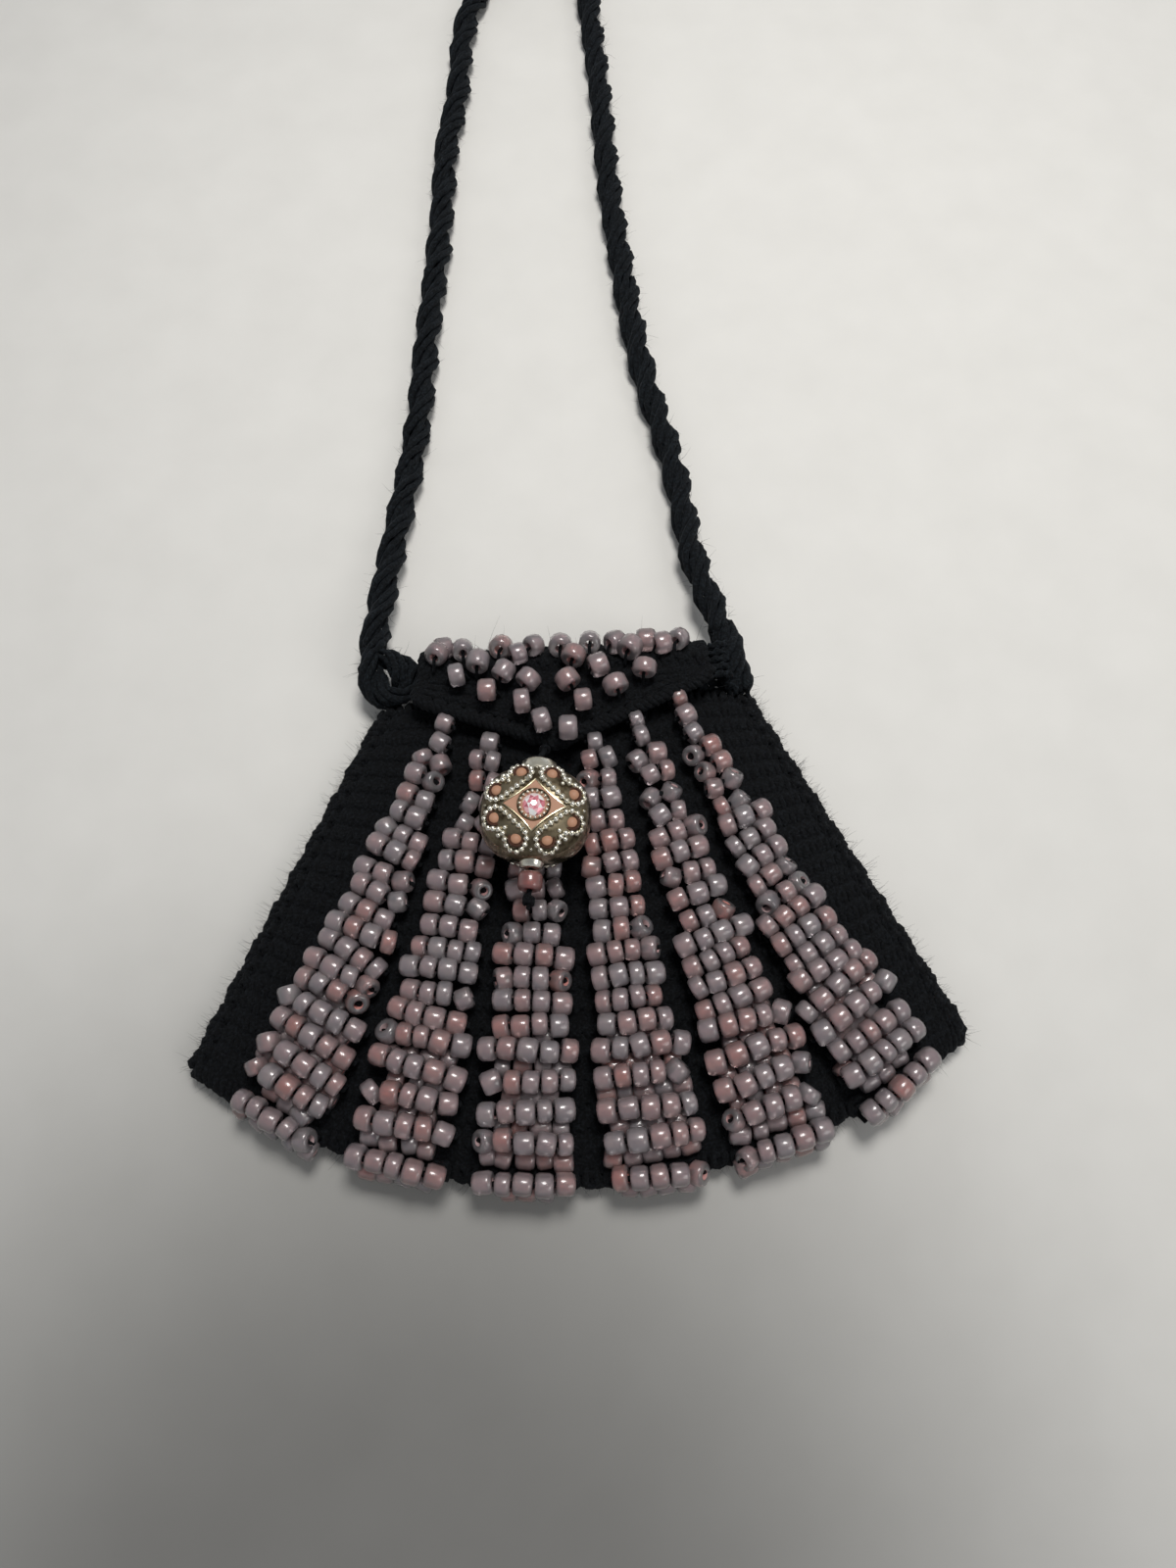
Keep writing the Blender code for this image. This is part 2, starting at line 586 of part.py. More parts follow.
def main():
    parts, cutters = clear_scene()
    fabric = new_material("black_wool_yarn", (0.012, 0.014, 0.018), 0.95)
    glass = new_material("pearl_pink_glass", (0.55, 0.42, 0.45), 0.25)
    pink = new_material("coral_pink_glass", (0.78, 0.30, 0.30), 0.25)
    metal = new_material("antique_silver", (0.62, 0.58, 0.52), 0.35, 1.0)
    crystal = new_material("pink_crystal", (0.75, 0.38, 0.42), 0.1)
    make_front(parts, fabric)
    make_back(parts, fabric)
    make_seams(parts, fabric)
    for column in range(1, 7):
        make_column(column, parts, glass)
    make_flap_beads(parts, glass)
    make_charm(parts, cutters, metal, crystal, pink, fabric)
    make_cord(parts, fabric)


main()
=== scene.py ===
# %% [markdown]
# # A beaded medicine bag
# The bag is a small fan of black garter knitting with six columns of glass seed beads, a short flap folded
# over its mouth, a cast metal bead hanging from the flap's tip, and a twisted neck cord. The solids that
# carry its sizes and joints are loaded first, and this lesson makes the surfaces that show around them.
# Lengths are in millimetres, and each piece is brought to metres when it is finished.

# %% Load the frame
import json
import math
import random

import bmesh
import bpy
from mathutils import Matrix, Vector

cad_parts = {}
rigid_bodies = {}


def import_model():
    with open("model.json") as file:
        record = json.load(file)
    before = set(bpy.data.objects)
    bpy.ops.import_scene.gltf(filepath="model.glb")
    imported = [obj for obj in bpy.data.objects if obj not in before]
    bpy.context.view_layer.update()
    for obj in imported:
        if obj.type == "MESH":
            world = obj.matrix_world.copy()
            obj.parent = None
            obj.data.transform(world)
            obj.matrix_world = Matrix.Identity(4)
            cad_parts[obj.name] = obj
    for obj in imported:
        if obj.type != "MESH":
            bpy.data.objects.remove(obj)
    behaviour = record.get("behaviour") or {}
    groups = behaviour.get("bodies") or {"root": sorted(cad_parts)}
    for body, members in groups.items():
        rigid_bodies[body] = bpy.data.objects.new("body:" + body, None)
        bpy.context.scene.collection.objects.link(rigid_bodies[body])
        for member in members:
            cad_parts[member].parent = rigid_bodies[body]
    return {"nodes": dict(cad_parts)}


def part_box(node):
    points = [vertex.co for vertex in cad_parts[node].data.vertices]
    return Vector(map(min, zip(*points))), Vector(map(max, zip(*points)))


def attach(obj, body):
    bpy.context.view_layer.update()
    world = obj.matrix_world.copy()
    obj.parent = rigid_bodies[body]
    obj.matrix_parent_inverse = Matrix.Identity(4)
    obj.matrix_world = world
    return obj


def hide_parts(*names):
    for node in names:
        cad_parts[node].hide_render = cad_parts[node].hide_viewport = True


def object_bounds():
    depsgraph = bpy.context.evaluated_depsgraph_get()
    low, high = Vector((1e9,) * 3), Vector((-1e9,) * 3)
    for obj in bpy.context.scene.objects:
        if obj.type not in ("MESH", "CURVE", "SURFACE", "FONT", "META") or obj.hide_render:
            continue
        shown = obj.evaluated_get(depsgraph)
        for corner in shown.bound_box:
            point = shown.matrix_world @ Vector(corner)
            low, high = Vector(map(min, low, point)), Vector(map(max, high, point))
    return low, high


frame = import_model()
cad_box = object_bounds()
MM = 0.001
cad_sides = [round(side / MM, 1) for side in cad_box[1] - cad_box[0]]
print("frame:", len(frame["nodes"]), "solids, sides", cad_sides)

# %% [markdown]
# ## Camera
# The photograph was taken by hand from above with a wide phone lens, so the fan's lower edge is nearer and
# looks larger than the cord. A camera straight above would lose that. The lens comes from the focal length
# in photo pixels, and the tilt and turn are those that bring the table plane's measured points together.

# %% Camera
PHOTO_HEIGHT = 1600
FOCAL_PIXELS = 1201
SENSOR = 36.0
CAMERA_PLACE = (0.08, -34.08, 131.0)
CAMERA_TILT = 20.0
CAMERA_TURN = -2.6


def add_object(name, data):
    """A new object in the scene."""
    made = bpy.data.objects.new(name, data)
    bpy.context.scene.collection.objects.link(made)
    return made


lens = bpy.data.cameras.new("photo_camera")
lens.sensor_width = SENSOR
lens.lens = FOCAL_PIXELS / PHOTO_HEIGHT * SENSOR
lens.clip_start = 0.01
camera = add_object("photo_camera", lens)
camera.location = Vector(CAMERA_PLACE) * MM
camera.rotation_euler = (math.radians(CAMERA_TILT), 0, math.radians(CAMERA_TURN))
bpy.context.scene.camera = camera
print("camera: lens", round(lens.lens, 2), "mm")

# %% [markdown]
# ## Black wool
# The yarn is a soft, slightly hairy black wool. Wool is never quite black: its fibres catch a little blue
# grey light at a grazing angle, which a sheen gives, and single fibres are paler than others, which fine
# noise gives. The pattern reads Object coordinates, so it stays at one scale on every piece of yarn.

# %% Wool finish
SHEEN_TINT = (0.55, 0.68, 0.85, 1.0)
FIBRE_SCALE = 3600
FIBRE_DEPTH = 0.22


def set_sockets(node, sockets):
    """Sets a node's sockets, given by name with _ for each space; returns the node."""
    for name, value in sockets.items():
        node.inputs[name.replace("_", " ")].default_value = value
    return node


def add_node(tree, kind, **sockets):
    """A new node with values for some of its sockets."""
    return set_sockets(tree.nodes.new(kind), sockets)


def new_finish(name, colour, roughness, metallic=0.0, **sockets):
    """A Principled material with plain sockets; returns it, its node tree and its shader."""
    finish = bpy.data.materials.new(name)
    finish.use_nodes = True
    shader = set_sockets(finish.node_tree.nodes["Principled BSDF"], sockets)
    set_sockets(shader, {"Base Color": (*colour, 1.0), "Roughness": roughness, "Metallic": metallic})
    return finish, finish.node_tree, shader


def add_noise(tree, scale, detail=3.0):
    """A noise texture on Object coordinates, with scale in features a metre."""
    place = add_node(tree, "ShaderNodeTexCoord")
    texture = add_node(tree, "ShaderNodeTexNoise", Scale=scale, Detail=detail)
    tree.links.new(place.outputs["Object"], texture.inputs["Vector"])
    return texture.outputs["Fac"]


def add_ramp(tree, factor, stops):
    """Colours along a factor, as (place, colour) stops."""
    ramp = add_node(tree, "ShaderNodeValToRGB")
    while len(ramp.color_ramp.elements) < len(stops):
        ramp.color_ramp.elements.new(0.5)
    for element, (place, colour) in zip(ramp.color_ramp.elements, stops):
        element.position = place
        element.color = (*colour, 1.0)
    tree.links.new(factor, ramp.inputs["Fac"])
    return ramp.outputs["Color"]


def add_bump(tree, shader, height, strength, distance):
    """Bump on a shader, with distance in millimetres."""
    bump = add_node(tree, "ShaderNodeBump", Strength=strength, Distance=distance * MM)
    tree.links.new(height, bump.inputs["Height"])
    tree.links.new(bump.outputs["Normal"], shader.inputs["Normal"])


def wool_finish(name, dark, light, sheen):
    """Wool with paler fibres in it, fine bumps and a cool sheen."""
    finish, tree, shader = new_finish(name, dark, 0.9, Sheen_Weight=sheen, Sheen_Roughness=0.4,
                                      Sheen_Tint=SHEEN_TINT, Specular_IOR_Level=0.2)
    fibres = add_noise(tree, FIBRE_SCALE, 6.0)
    tree.links.new(add_ramp(tree, fibres, ((0.46, dark), (0.74, light))), shader.inputs["Base Color"])
    add_bump(tree, shader, fibres, 0.9, FIBRE_DEPTH)
    return finish


wool = wool_finish("black_wool", (0.0009, 0.0012, 0.0018), (0.0075, 0.0095, 0.0125), 0.02)
cord_wool = wool_finish("black_cord_wool", (0.0014, 0.0022, 0.0032), (0.0130, 0.0180, 0.0230), 0.04)
hair_wool = new_finish("black_wool_hair", (0.010, 0.012, 0.015), 0.8)[0]
print("finishes:", wool.name, cord_wool.name, hair_wool.name)

# %% [markdown]
# ## Finishing a piece
# Every piece is a bmesh in millimetres until it is done. One helper turns it into an object in metres at
# the origin, with its faces pointing out, rides it on its body, and hides the solids it stands for.

# %% Piece helper
def new_mesh(name, bm):
    """A mesh made from a bmesh, which is freed."""
    mesh = bpy.data.meshes.new(name)
    bm.to_mesh(mesh)
    bm.free()
    return mesh


def add_piece(name, bm, finishes, body, replaces=(), sharp=None, smooth=True):
    """Makes a bmesh in millimetres into a piece that rides on a body."""
    bmesh.ops.recalc_face_normals(bm, faces=bm.faces)
    bmesh.ops.scale(bm, vec=(MM, MM, MM), verts=bm.verts)
    mesh = new_mesh(name, bm)
    if smooth:
        mesh.shade_smooth()
        if sharp:
            mesh.set_sharp_from_angle(angle=math.radians(sharp))
    for finish in finishes:
        mesh.materials.append(finish)
    piece = add_object(name, mesh)
    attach(piece, body)
    if replaces:
        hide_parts(*replaces)
    print(name, sum(len(polygon.vertices) - 2 for polygon in mesh.polygons), "triangles")
    return piece


# %% [markdown]
# ## Yarn
# A yarn is a tube that follows a path. A curve with a round bevel makes such a tube with even rings and
# filled ends, which is neater than bridging rings by hand. A cord or a thread is several yarns wound round
# one line, so a second helper splits a path into strands, and can be used again on each strand.

# %% Yarn helpers
SPAN_STEPS = 24


def add_yarn(bm, strands, radius, sides=6, swell=None):
    """Adds a closed tube along each list of points; swell scales its radius at each point."""
    curve = bpy.data.curves.new("yarn", "CURVE")
    curve.dimensions = "3D"
    curve.bevel_depth = radius
    curve.bevel_resolution = (sides - 4) // 2
    curve.use_fill_caps = True
    for strand in strands:
        spline = curve.splines.new("POLY")
        spline.points.add(len(strand) - 1)
        spline.points.foreach_set("co", [value for point in strand for value in (*point, 1.0)])
        if swell:
            spline.points.foreach_set("radius", swell)
    guide = bpy.data.objects.new("yarn", curve)
    mesh = bpy.data.meshes.new_from_object(guide)
    bm.from_mesh(mesh)
    bpy.data.objects.remove(guide)
    bpy.data.curves.remove(curve)
    bpy.data.meshes.remove(mesh)
    bmesh.ops.remove_doubles(bm, verts=bm.verts, dist=1e-4)


def smooth_path(spots, step):
    """Points at even steps of a smooth curve through the spots, and the length of that curve."""
    spots = [2 * spots[0] - spots[1], *spots, 2 * spots[-1] - spots[-2]]
    fine = []
    for a, b, c, d in zip(spots, spots[1:], spots[2:], spots[3:]):
        for number in range(SPAN_STEPS):
            t = number / SPAN_STEPS
            fine.append(0.5 * (2 * b + (c - a) * t + (2 * a - 5 * b + 4 * c - d) * t**2
                               + (3 * b - a - 3 * c + d) * t**3))
    fine.append(spots[-2])
    reached = [0.0]
    for a, b in zip(fine, fine[1:]):
        reached.append(reached[-1] + (b - a).length)
    count = max(round(reached[-1] / step), 2)
    points, index = [], 0
    for number in range(count + 1):
        target = reached[-1] * number / count
        while index < len(fine) - 2 and reached[index + 1] < target:
            index += 1
        share = (target - reached[index]) / (reached[index + 1] - reached[index])
        points.append(fine[index].lerp(fine[index + 1], share))
    return points, reached[-1]


def cross_directions(points):
    """Two cross directions at each point of a path, carried along it without turning about it."""
    tangents = [(b - a).normalized() for a, b in zip(points, points[1:])]
    tangents.append(tangents[-1])
    side = tangents[0].orthogonal().normalized()
    pairs = []
    for tangent in tangents:
        side = (side - tangent * side.dot(tangent)).normalized()
        pairs.append((side, tangent.cross(side)))
    return pairs


def twist(points, count, offset, pitch, shares=None, start=0.0):
    """Splits a path into strands wound around it; a positive pitch leans like the stroke of a Z."""
    strands = [[] for _ in range(count)]
    reached = 0.0
    for index, (point, (side, other)) in enumerate(zip(points, cross_directions(points))):
        if index:
            reached += (point - points[index - 1]).length
        reach = offset * (shares[index] if shares else 1.0)
        for number, strand in enumerate(strands):
            turn = 2 * math.pi * (reached / pitch + number / count + start)
            strand.append(point + (side * math.cos(turn) + other * math.sin(turn)) * reach)
    return strands


# %% [markdown]
# ## Neck cord
# The cord is two strands of soft yarn twisted together, so its outline swells and narrows every 6 mm. Only
# its first 11 cm on each side show. A neck cord of this kind is about 0.7 m long, so the rest is wound into
# a small flat coil past the photograph's upper edge. Its route repeats the solids' route: from the left
# corner to the coil, twice round outside and inside, and back to the right corner.

# %% Cord route
CORD_DIAMETER = 3.4
CORD_STEP = 0.6
CORD_LEFT_ROUTE = (
    (-22.7, 30.6, 4.2), (-22.0, 36.6, 3.4), (-20.7, 46.0, 2.3), (-19.0, 56.0, 1.8), (-17.6, 66.0, 1.7),
    (-16.8, 76.0, 1.7), (-15.8, 86.0, 1.7), (-14.8, 96.0, 1.7), (-14.2, 106.0, 1.7), (-13.6, 114.0, 1.7),
    (-12.2, 122.0, 1.7), (-11.6, 130.0, 1.7), (-10.8, 137.0, 1.7), (-8.9, 143.6, 1.7), (-5.2, 149.1, 1.7),
)
CORD_RIGHT_ROUTE = (
    (19.3, 30.9, 4.2), (18.1, 35.8, 3.5), (16.6, 43.0, 2.5), (15.8, 52.0, 1.8), (14.6, 60.0, 1.7),
    (12.7, 69.0, 1.7), (11.3, 79.0, 1.7), (10.5, 89.0, 1.7), (9.7, 99.0, 1.7), (9.3, 109.0, 1.7),
    (9.1, 119.0, 1.7), (8.8, 128.0, 1.7), (8.4, 136.0, 1.7), (7.9, 142.6, 1.8), (5.6, 149.0, 2.6),
)
CORD_LOOP_LEFT = (
    (-22.75, 30.15, 4.25, 1.0), (-22.9, 28.4, 4.4, 1.0), (-22.75, 26.4, 3.9, 1.0), (-21.9, 24.6, 3.6, 0.95),
    (-20.4, 24.1, 3.6, 0.95), (-19.0, 24.9, 3.7, 1.0), (-18.7, 26.5, 4.0, 1.1), (-19.3, 27.9, 4.3, 1.1),
    (-20.7, 28.7, 4.5, 0.9), (-22.0, 29.0, 4.4, 0.6),
)
CORD_KNOT_RIGHT = (
    (19.42, 30.45, 4.25, 1.0), (19.6, 29.0, 4.4, 1.1), (19.9, 27.5, 4.3, 1.3), (20.2, 26.0, 4.0, 1.35),
    (20.5, 24.6, 3.8, 1.15), (20.8, 22.9, 3.7, 0.7),
)
TURN_SPOTS = 24
SHIFT_SPOTS = 4

coil_low, coil_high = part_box("cord_coil")
coil_centre = (coil_low + coil_high) / 2 / MM
coil_outer = (coil_high.x - coil_low.x) / 2 / MM - CORD_DIAMETER / 2
coil_inner = coil_outer - CORD_DIAMETER


def coil_spots():
    """The coil's turns: round outside, round inside, up on that one, and round outside on top."""
    levels = ((coil_outer, 0.5, 0), (coil_inner, 0.5, 0), (coil_inner, 1.5, 0), (coil_outer, 1.5, 1))
    spots = []
    for turn, (radius, level, late) in enumerate(levels):
        shift = levels[turn + 1][:2] if turn < 2 else (radius, level)
        for number in range(TURN_SPOTS):
            share = max(number - (TURN_SPOTS - SHIFT_SPOTS), 0) / SHIFT_SPOTS
            reach = radius + (shift[0] - radius) * share
            height = level + (shift[1] - level) * share
            if late:
                reach = coil_inner + (coil_outer - coil_inner) * min(number / SHIFT_SPOTS, 1.0)
            angle = 2 * math.pi * (number / TURN_SPOTS - 0.25)
            x = coil_centre.x + reach * math.cos(angle)
            y = coil_centre.y + reach * math.sin(angle)
            spots.append(Vector((x, y, height * CORD_DIAMETER)))
    return spots


def cord_spots():
    """The spots of the left loop, of the free cord and of the right wrapped end, in the cord's order."""
    loop = [Vector(spot[:3]) for spot in reversed(CORD_LOOP_LEFT)]
    knot = [Vector(spot[:3]) for spot in CORD_KNOT_RIGHT]
    free = [Vector(spot) for spot in CORD_LEFT_ROUTE] + coil_spots()[1:]
    free += [Vector(spot) for spot in reversed(CORD_RIGHT_ROUTE)]
    return loop, free, knot


def nearest(spot):
    """Number of the cord's point that is nearest to a spot."""
    return min(range(len(cord_path)), key=lambda index: (cord_path[index] - spot).length)


loop_spots, free_spots, knot_spots = cord_spots()
cord_path, whole_length = smooth_path(loop_spots + free_spots + knot_spots, CORD_STEP)
free_start, free_end = nearest(free_spots[0]), nearest(free_spots[-1])

# %% [markdown]
# The strands are worked out once for the whole path and then split into three pieces: the free cord, the
# small loop at the left corner and the wrapped end at the right corner. So the plies run on from one piece
# to the next. Each strand is five plies that sink into each other as soft yarn does. Two single tubes
# would look like rubber, and would leave notches that wool fills. Where the cord lies on the table, its
# plies flatten against it.

# %% Cord pieces
STRAND_OFFSET = 0.72
CORD_PITCH = 12.4
PLIES = 5
PLY_OFFSET = 0.74
PLY_PITCH = 17.0
PLY_RADIUS = 0.43
PLY_UNEVEN = 0.06


def thickness_shares():
    """The share of the full thickness at each point of the path: less at the sewn ends."""
    table = [(spot, share) for *spot, share in CORD_LOOP_LEFT + CORD_KNOT_RIGHT]
    shares = []
    for index, point in enumerate(cord_path):
        if free_start <= index <= free_end:
            shares.append(1.0)
        else:
            near = sorted(((Vector(spot) - point).length, share) for spot, share in table)[:2]
            total = near[0][0] + near[1][0]
            shares.append((near[0][1] * near[1][0] + near[1][1] * near[0][0]) / total)
    return shares


cord_shares = thickness_shares()
cord_dice = random.Random(31)
cord_plies = []
for strand in twist(cord_path, 2, STRAND_OFFSET, CORD_PITCH, cord_shares):
    cord_plies += twist(strand, PLIES, PLY_OFFSET, PLY_PITCH, cord_shares)
for ply in cord_plies:
    for point in ply:
        point += Vector([cord_dice.gauss(0, PLY_UNEVEN) for _ in range(3)])
        point.z = max(point.z, PLY_RADIUS)


def cord_piece(name, first, last, replaces):
    """The part of the cord between two points of its path."""
    bm = bmesh.new()
    plies = [ply[first:last + 1] for ply in cord_plies]
    add_yarn(bm, plies, PLY_RADIUS, 6, cord_shares[first:last + 1])
    return add_piece(name, bm, [cord_wool], "pouch", replaces)


neck_cord = cord_piece("neck_cord", free_start, free_end, ("cord_left", "cord_right", "cord_coil"))
[tuple(point * MM) for point in cord_path[free_start:free_end + 1:2]]
cord_piece("cord_loop_left", 0, free_start, ("cord_end_left",))
cord_piece("cord_wrap_right", free_end, len(cord_path) - 1, ("cord_end_right",))

# %% [markdown]
# At the right corner the cord's end is also bound to the fold with a few turns of its own yarn, which fill
# the space between them.

# %% Corner binding
BINDING_MIDDLE = (18.3, 26.0, 4.2)
BINDING_REACH = 1.9
BINDING_UNEVEN = 0.1
BINDING_SLANT = 0.18
BINDING_PITCH = 0.95
BINDING_SPAN = 4.8
BINDING_STEPS = 14
BINDING_OFFSET = 0.25
BINDING_TWIST = 2.2
BINDING_RADIUS = 0.35


def make_binding():
    """A flat spiral of yarn from the fold's corner to the cord's end."""
    dice = random.Random(21)
    steps = round(BINDING_SPAN / BINDING_PITCH * BINDING_STEPS)
    path = []
    for step in range(steps + 1):
        turn = 2 * math.pi * step / BINDING_STEPS
        along = BINDING_SPAN * (0.5 - step / steps)
        width = BINDING_REACH + dice.uniform(-BINDING_UNEVEN, BINDING_UNEVEN)
        x = width * math.cos(turn) + BINDING_SLANT * along
        path.append(Vector(BINDING_MIDDLE) + Vector((x, along, BINDING_REACH * math.sin(turn))))
    bm = bmesh.new()
    add_yarn(bm, twist(path, 2, BINDING_OFFSET, BINDING_TWIST), BINDING_RADIUS)
    add_piece("corner_binding_right", bm, [cord_wool], "pouch")


make_binding()

# %% [markdown]
# ## The fan
# The pouch is a fan: its side edges meet at a point above the mouth. A spot on the front is given by how
# far down it is, from 0 at the mouth to 1 at the bottom edge, by its distance from the middle line, and by
# its lift from the middle of the fabric. The same rule places the knitting and the beads.

# %% Fan surfaces
FOLD_FROM_APEX = 37.0
POUCH_LENGTH = 59.0
SIDE_ANGLE = math.radians(26.2)
BOTTOM_ARC_RADIUS = 71.0
MOUTH_BELOW_FOLD = 6.0
FABRIC_THICKNESS = 1.8
CLEARANCE = 0.3
POUCH_SWELL = 1.5
SWELL_AT_MOUTH = 0.12
RIDGE_HEIGHT = 0.25
EDGE_THINNING = 0.3
FOLD_HALF_WIDTH = 16.5
FLAP_CORNER_HALF_WIDTH = 17.4
FLAP_TIP_DROP = 11.9
FLAP_LEFT_DROP = 5.8
FLAP_RIGHT_DROP = 3.9
FLAP_TIP_OFFSET = -1.2
FLAP_RISE = 0.6
BEAD_SEAT_RADIUS = 1.15
CORD_ABOVE_FOLD = 3.1

FRONT_TOP = FOLD_FROM_APEX + MOUTH_BELOW_FOLD
BOTTOM_FROM_APEX = FOLD_FROM_APEX + POUCH_LENGTH
FRONT_LENGTH = BOTTOM_FROM_APEX - FRONT_TOP
BOTTOM_ARC_DROP = BOTTOM_FROM_APEX - BOTTOM_ARC_RADIUS
APEX_Y = (FOLD_FROM_APEX - CORD_ABOVE_FOLD + BOTTOM_FROM_APEX + BEAD_SEAT_RADIUS) / 2
FRONT_UNDERSIDE = FABRIC_THICKNESS + CLEARANCE


def fan_point(down, angle):
    """(x, y) on the fan, at an angle from its middle line."""
    top = FRONT_TOP / math.cos(angle)
    across = BOTTOM_ARC_DROP * math.sin(angle)
    bottom = BOTTOM_ARC_DROP * math.cos(angle) + math.sqrt(BOTTOM_ARC_RADIUS**2 - across**2)
    reach = top + down * (bottom - top)
    return reach * math.sin(angle), APEX_Y - reach * math.cos(angle)


def swell(down, across):
    """How far the front stands up from the back."""
    along = math.sin(math.pi * (SWELL_AT_MOUTH + (1 - SWELL_AT_MOUTH) * min(max(down, 0.0), 1.0)))
    return POUCH_SWELL * along * max(1 - across**2, 0.0)


def thickness(down, across):
    """The front's thickness, less towards its edges."""
    share = min(abs(across), 1.0)**8 + min(max(down, 0.0), 1.0)**16
    return FABRIC_THICKNESS * (1 - EDGE_THINNING * share)


def front_crest(down, across):
    """Height of the front's ridges, which the beads lie on."""
    return FRONT_UNDERSIDE + swell(down, across) + thickness(down, across) + RIDGE_HEIGHT


def middle_reach(down):
    """Distance from the apex on the middle line."""
    return FRONT_TOP + down * FRONT_LENGTH


def front_place(down, side, lift):
    """A point of the front panel; side is measured along the row from the middle line."""
    angle = side / middle_reach(down)
    across = angle / SIDE_ANGLE
    x, y = fan_point(down, angle)
    middle = FRONT_UNDERSIDE + swell(down, across) + thickness(down, across) / 2
    return Vector((x, y, middle + lift))


print("fan: apex at y", round(APEX_Y, 2), "bottom edge at y", round(fan_point(1, 0)[1], 2))

# %% [markdown]
# ## Knitting
# Garter stitch is one yarn that loops up and down along each row, every loop drawn through the row below.
# The path of one loop is a sine across, a cosine down and a cosine of twice the angle in depth, and every
# other row is turned over, which gives the ridges. Real loops are worth their faces here: the knitting is
# what the bag is made of, and bump alone would leave its edges smooth. A thin closed sheet inside each
# panel keeps light from passing between the loops.

# %% Knitting helpers
ROW_PITCH = 1.2
STITCH_WIDTH = 1.95
LOOP_HEIGHT = 1.08
LOOP_DEPTH = 0.40
LOOP_LEAN = 0.16
YARN_RADIUS = 0.43
STITCH_JITTER = 0.07
LOOP_STEPS = 12
HIDDEN_LOOP_STEPS = 9
LINING_HALF = 0.45
LINING_INSET = 0.9


def knit_row(place, spans, face, steps, dice):
    """The yarn's path through one row: loops in each span of (start, end, stitches), and straight between.

    place(side, up, lift) gives a point; up is measured across the row, towards the row before it.
    """
    points = []
    for start, end, stitches in spans:
        width = (end - start) / stitches
        for number in range(stitches):
            nudge = dice.uniform(-STITCH_JITTER, STITCH_JITTER)
            rise = dice.uniform(-STITCH_JITTER, STITCH_JITTER)
            for step in range(steps):
                turn = 2 * math.pi * (step / steps - 0.5)
                side = start + (number + 0.5 + turn / (2 * math.pi)) * width
                side += LOOP_LEAN * width * math.sin(2 * turn) + nudge
                lift = face * LOOP_DEPTH * math.cos(2 * turn)
                points.append(place(side, LOOP_HEIGHT * math.cos(turn) + rise, lift))
        points.append(place(end, -LOOP_HEIGHT, face * LOOP_DEPTH))
    return points


def lining(bm, place, rows, columns):
    """Adds a closed sheet from a grid; place(down, across, lift) takes shares from 0 to 1 and -1 to 1."""
    made = bmesh.ops.create_grid(bm, x_segments=columns, y_segments=rows, size=0.5)["verts"]
    faces = {face for vert in made for face in vert.link_faces}
    lifted = bmesh.ops.extrude_face_region(bm, geom=list(faces))["geom"]
    upper = [item for item in lifted if isinstance(item, bmesh.types.BMVert)]
    for verts, lift in ((made, -LINING_HALF), (upper, LINING_HALF)):
        for vert in verts:
            vert.co = place(0.5 - vert.co.y, 2 * vert.co.x, lift)


# %% [markdown]
# ## Front panel
# In beaded knitting the beads are slid along the yarn between two stitches, so black strips of two
# stitches run down between the bead columns, and the fan widens only because each row carries more beads.
# The yarn of each row therefore loops in the strips and in the two margins, and runs straight under beads.

# %% Front panel
COLUMN_STEP_TOP = math.radians(3.3)
COLUMN_STEP_BOTTOM = math.radians(4.0)
COLUMN_LEAN_BOTTOM = math.radians(0.35)
STRIP_STITCHES = 2
MARGIN_STITCHES = 4
STRIP_OVERLAP = 0.5
BEAD_LENGTH = 2.0
FRONT_ROWS = round(FRONT_LENGTH / ROW_PITCH)


def column_angle(column, down):
    """Angle of a bead column from the middle line, for columns 1 to 6 from left to right."""
    step = COLUMN_STEP_TOP + (COLUMN_STEP_BOTTOM - COLUMN_STEP_TOP) * down
    return (2 * column - 7) * step + COLUMN_LEAN_BOTTOM * down


def front_spans(down):
    """The stretches of a row that are knitted, between its bead columns."""
    reach = middle_reach(down)
    beads = BEAD_LENGTH * (0.5 + 2.0 * min(down, 1.0)) - STRIP_OVERLAP
    centres = [column_angle(column, down) * reach for column in range(1, 7)]
    starts = [-SIDE_ANGLE * reach] + [centre + beads for centre in centres]
    ends = [centre - beads for centre in centres] + [SIDE_ANGLE * reach]
    counts = [MARGIN_STITCHES] + [STRIP_STITCHES] * 5 + [MARGIN_STITCHES]
    return list(zip(starts, ends, counts))


def make_front():
    """The front panel's rows of yarn around their lining."""
    dice = random.Random(11)
    bm = bmesh.new()
    lining(bm, lambda down, across, lift: front_place(
        down, across * (SIDE_ANGLE * middle_reach(down) - LINING_INSET), lift), 24, 16)
    rows = []
    for row in range(FRONT_ROWS + 1):
        down = row / FRONT_ROWS

        def place(side, up, lift, down=down):
            return front_place(down - up / FRONT_LENGTH, side, lift)

        rows.append(knit_row(place, front_spans(down), 1 if row % 2 else -1, LOOP_STEPS, dice))
    add_yarn(bm, rows, YARN_RADIUS)
    add_piece("front_panel_knit", bm, [wool], "pouch", ("front_panel",))
    return rows


front_rows = make_front()

# %% [markdown]
# ## Back and flap
# The back is one more fan, and its knitting goes on past the mouth, folds over it in a half turn and ends
# in the short V-shaped flap. So one function follows the fabric from the bottom edge to the flap's tip,
# and the rows are laid along it. The back lies on the table, so its rows keep above it.

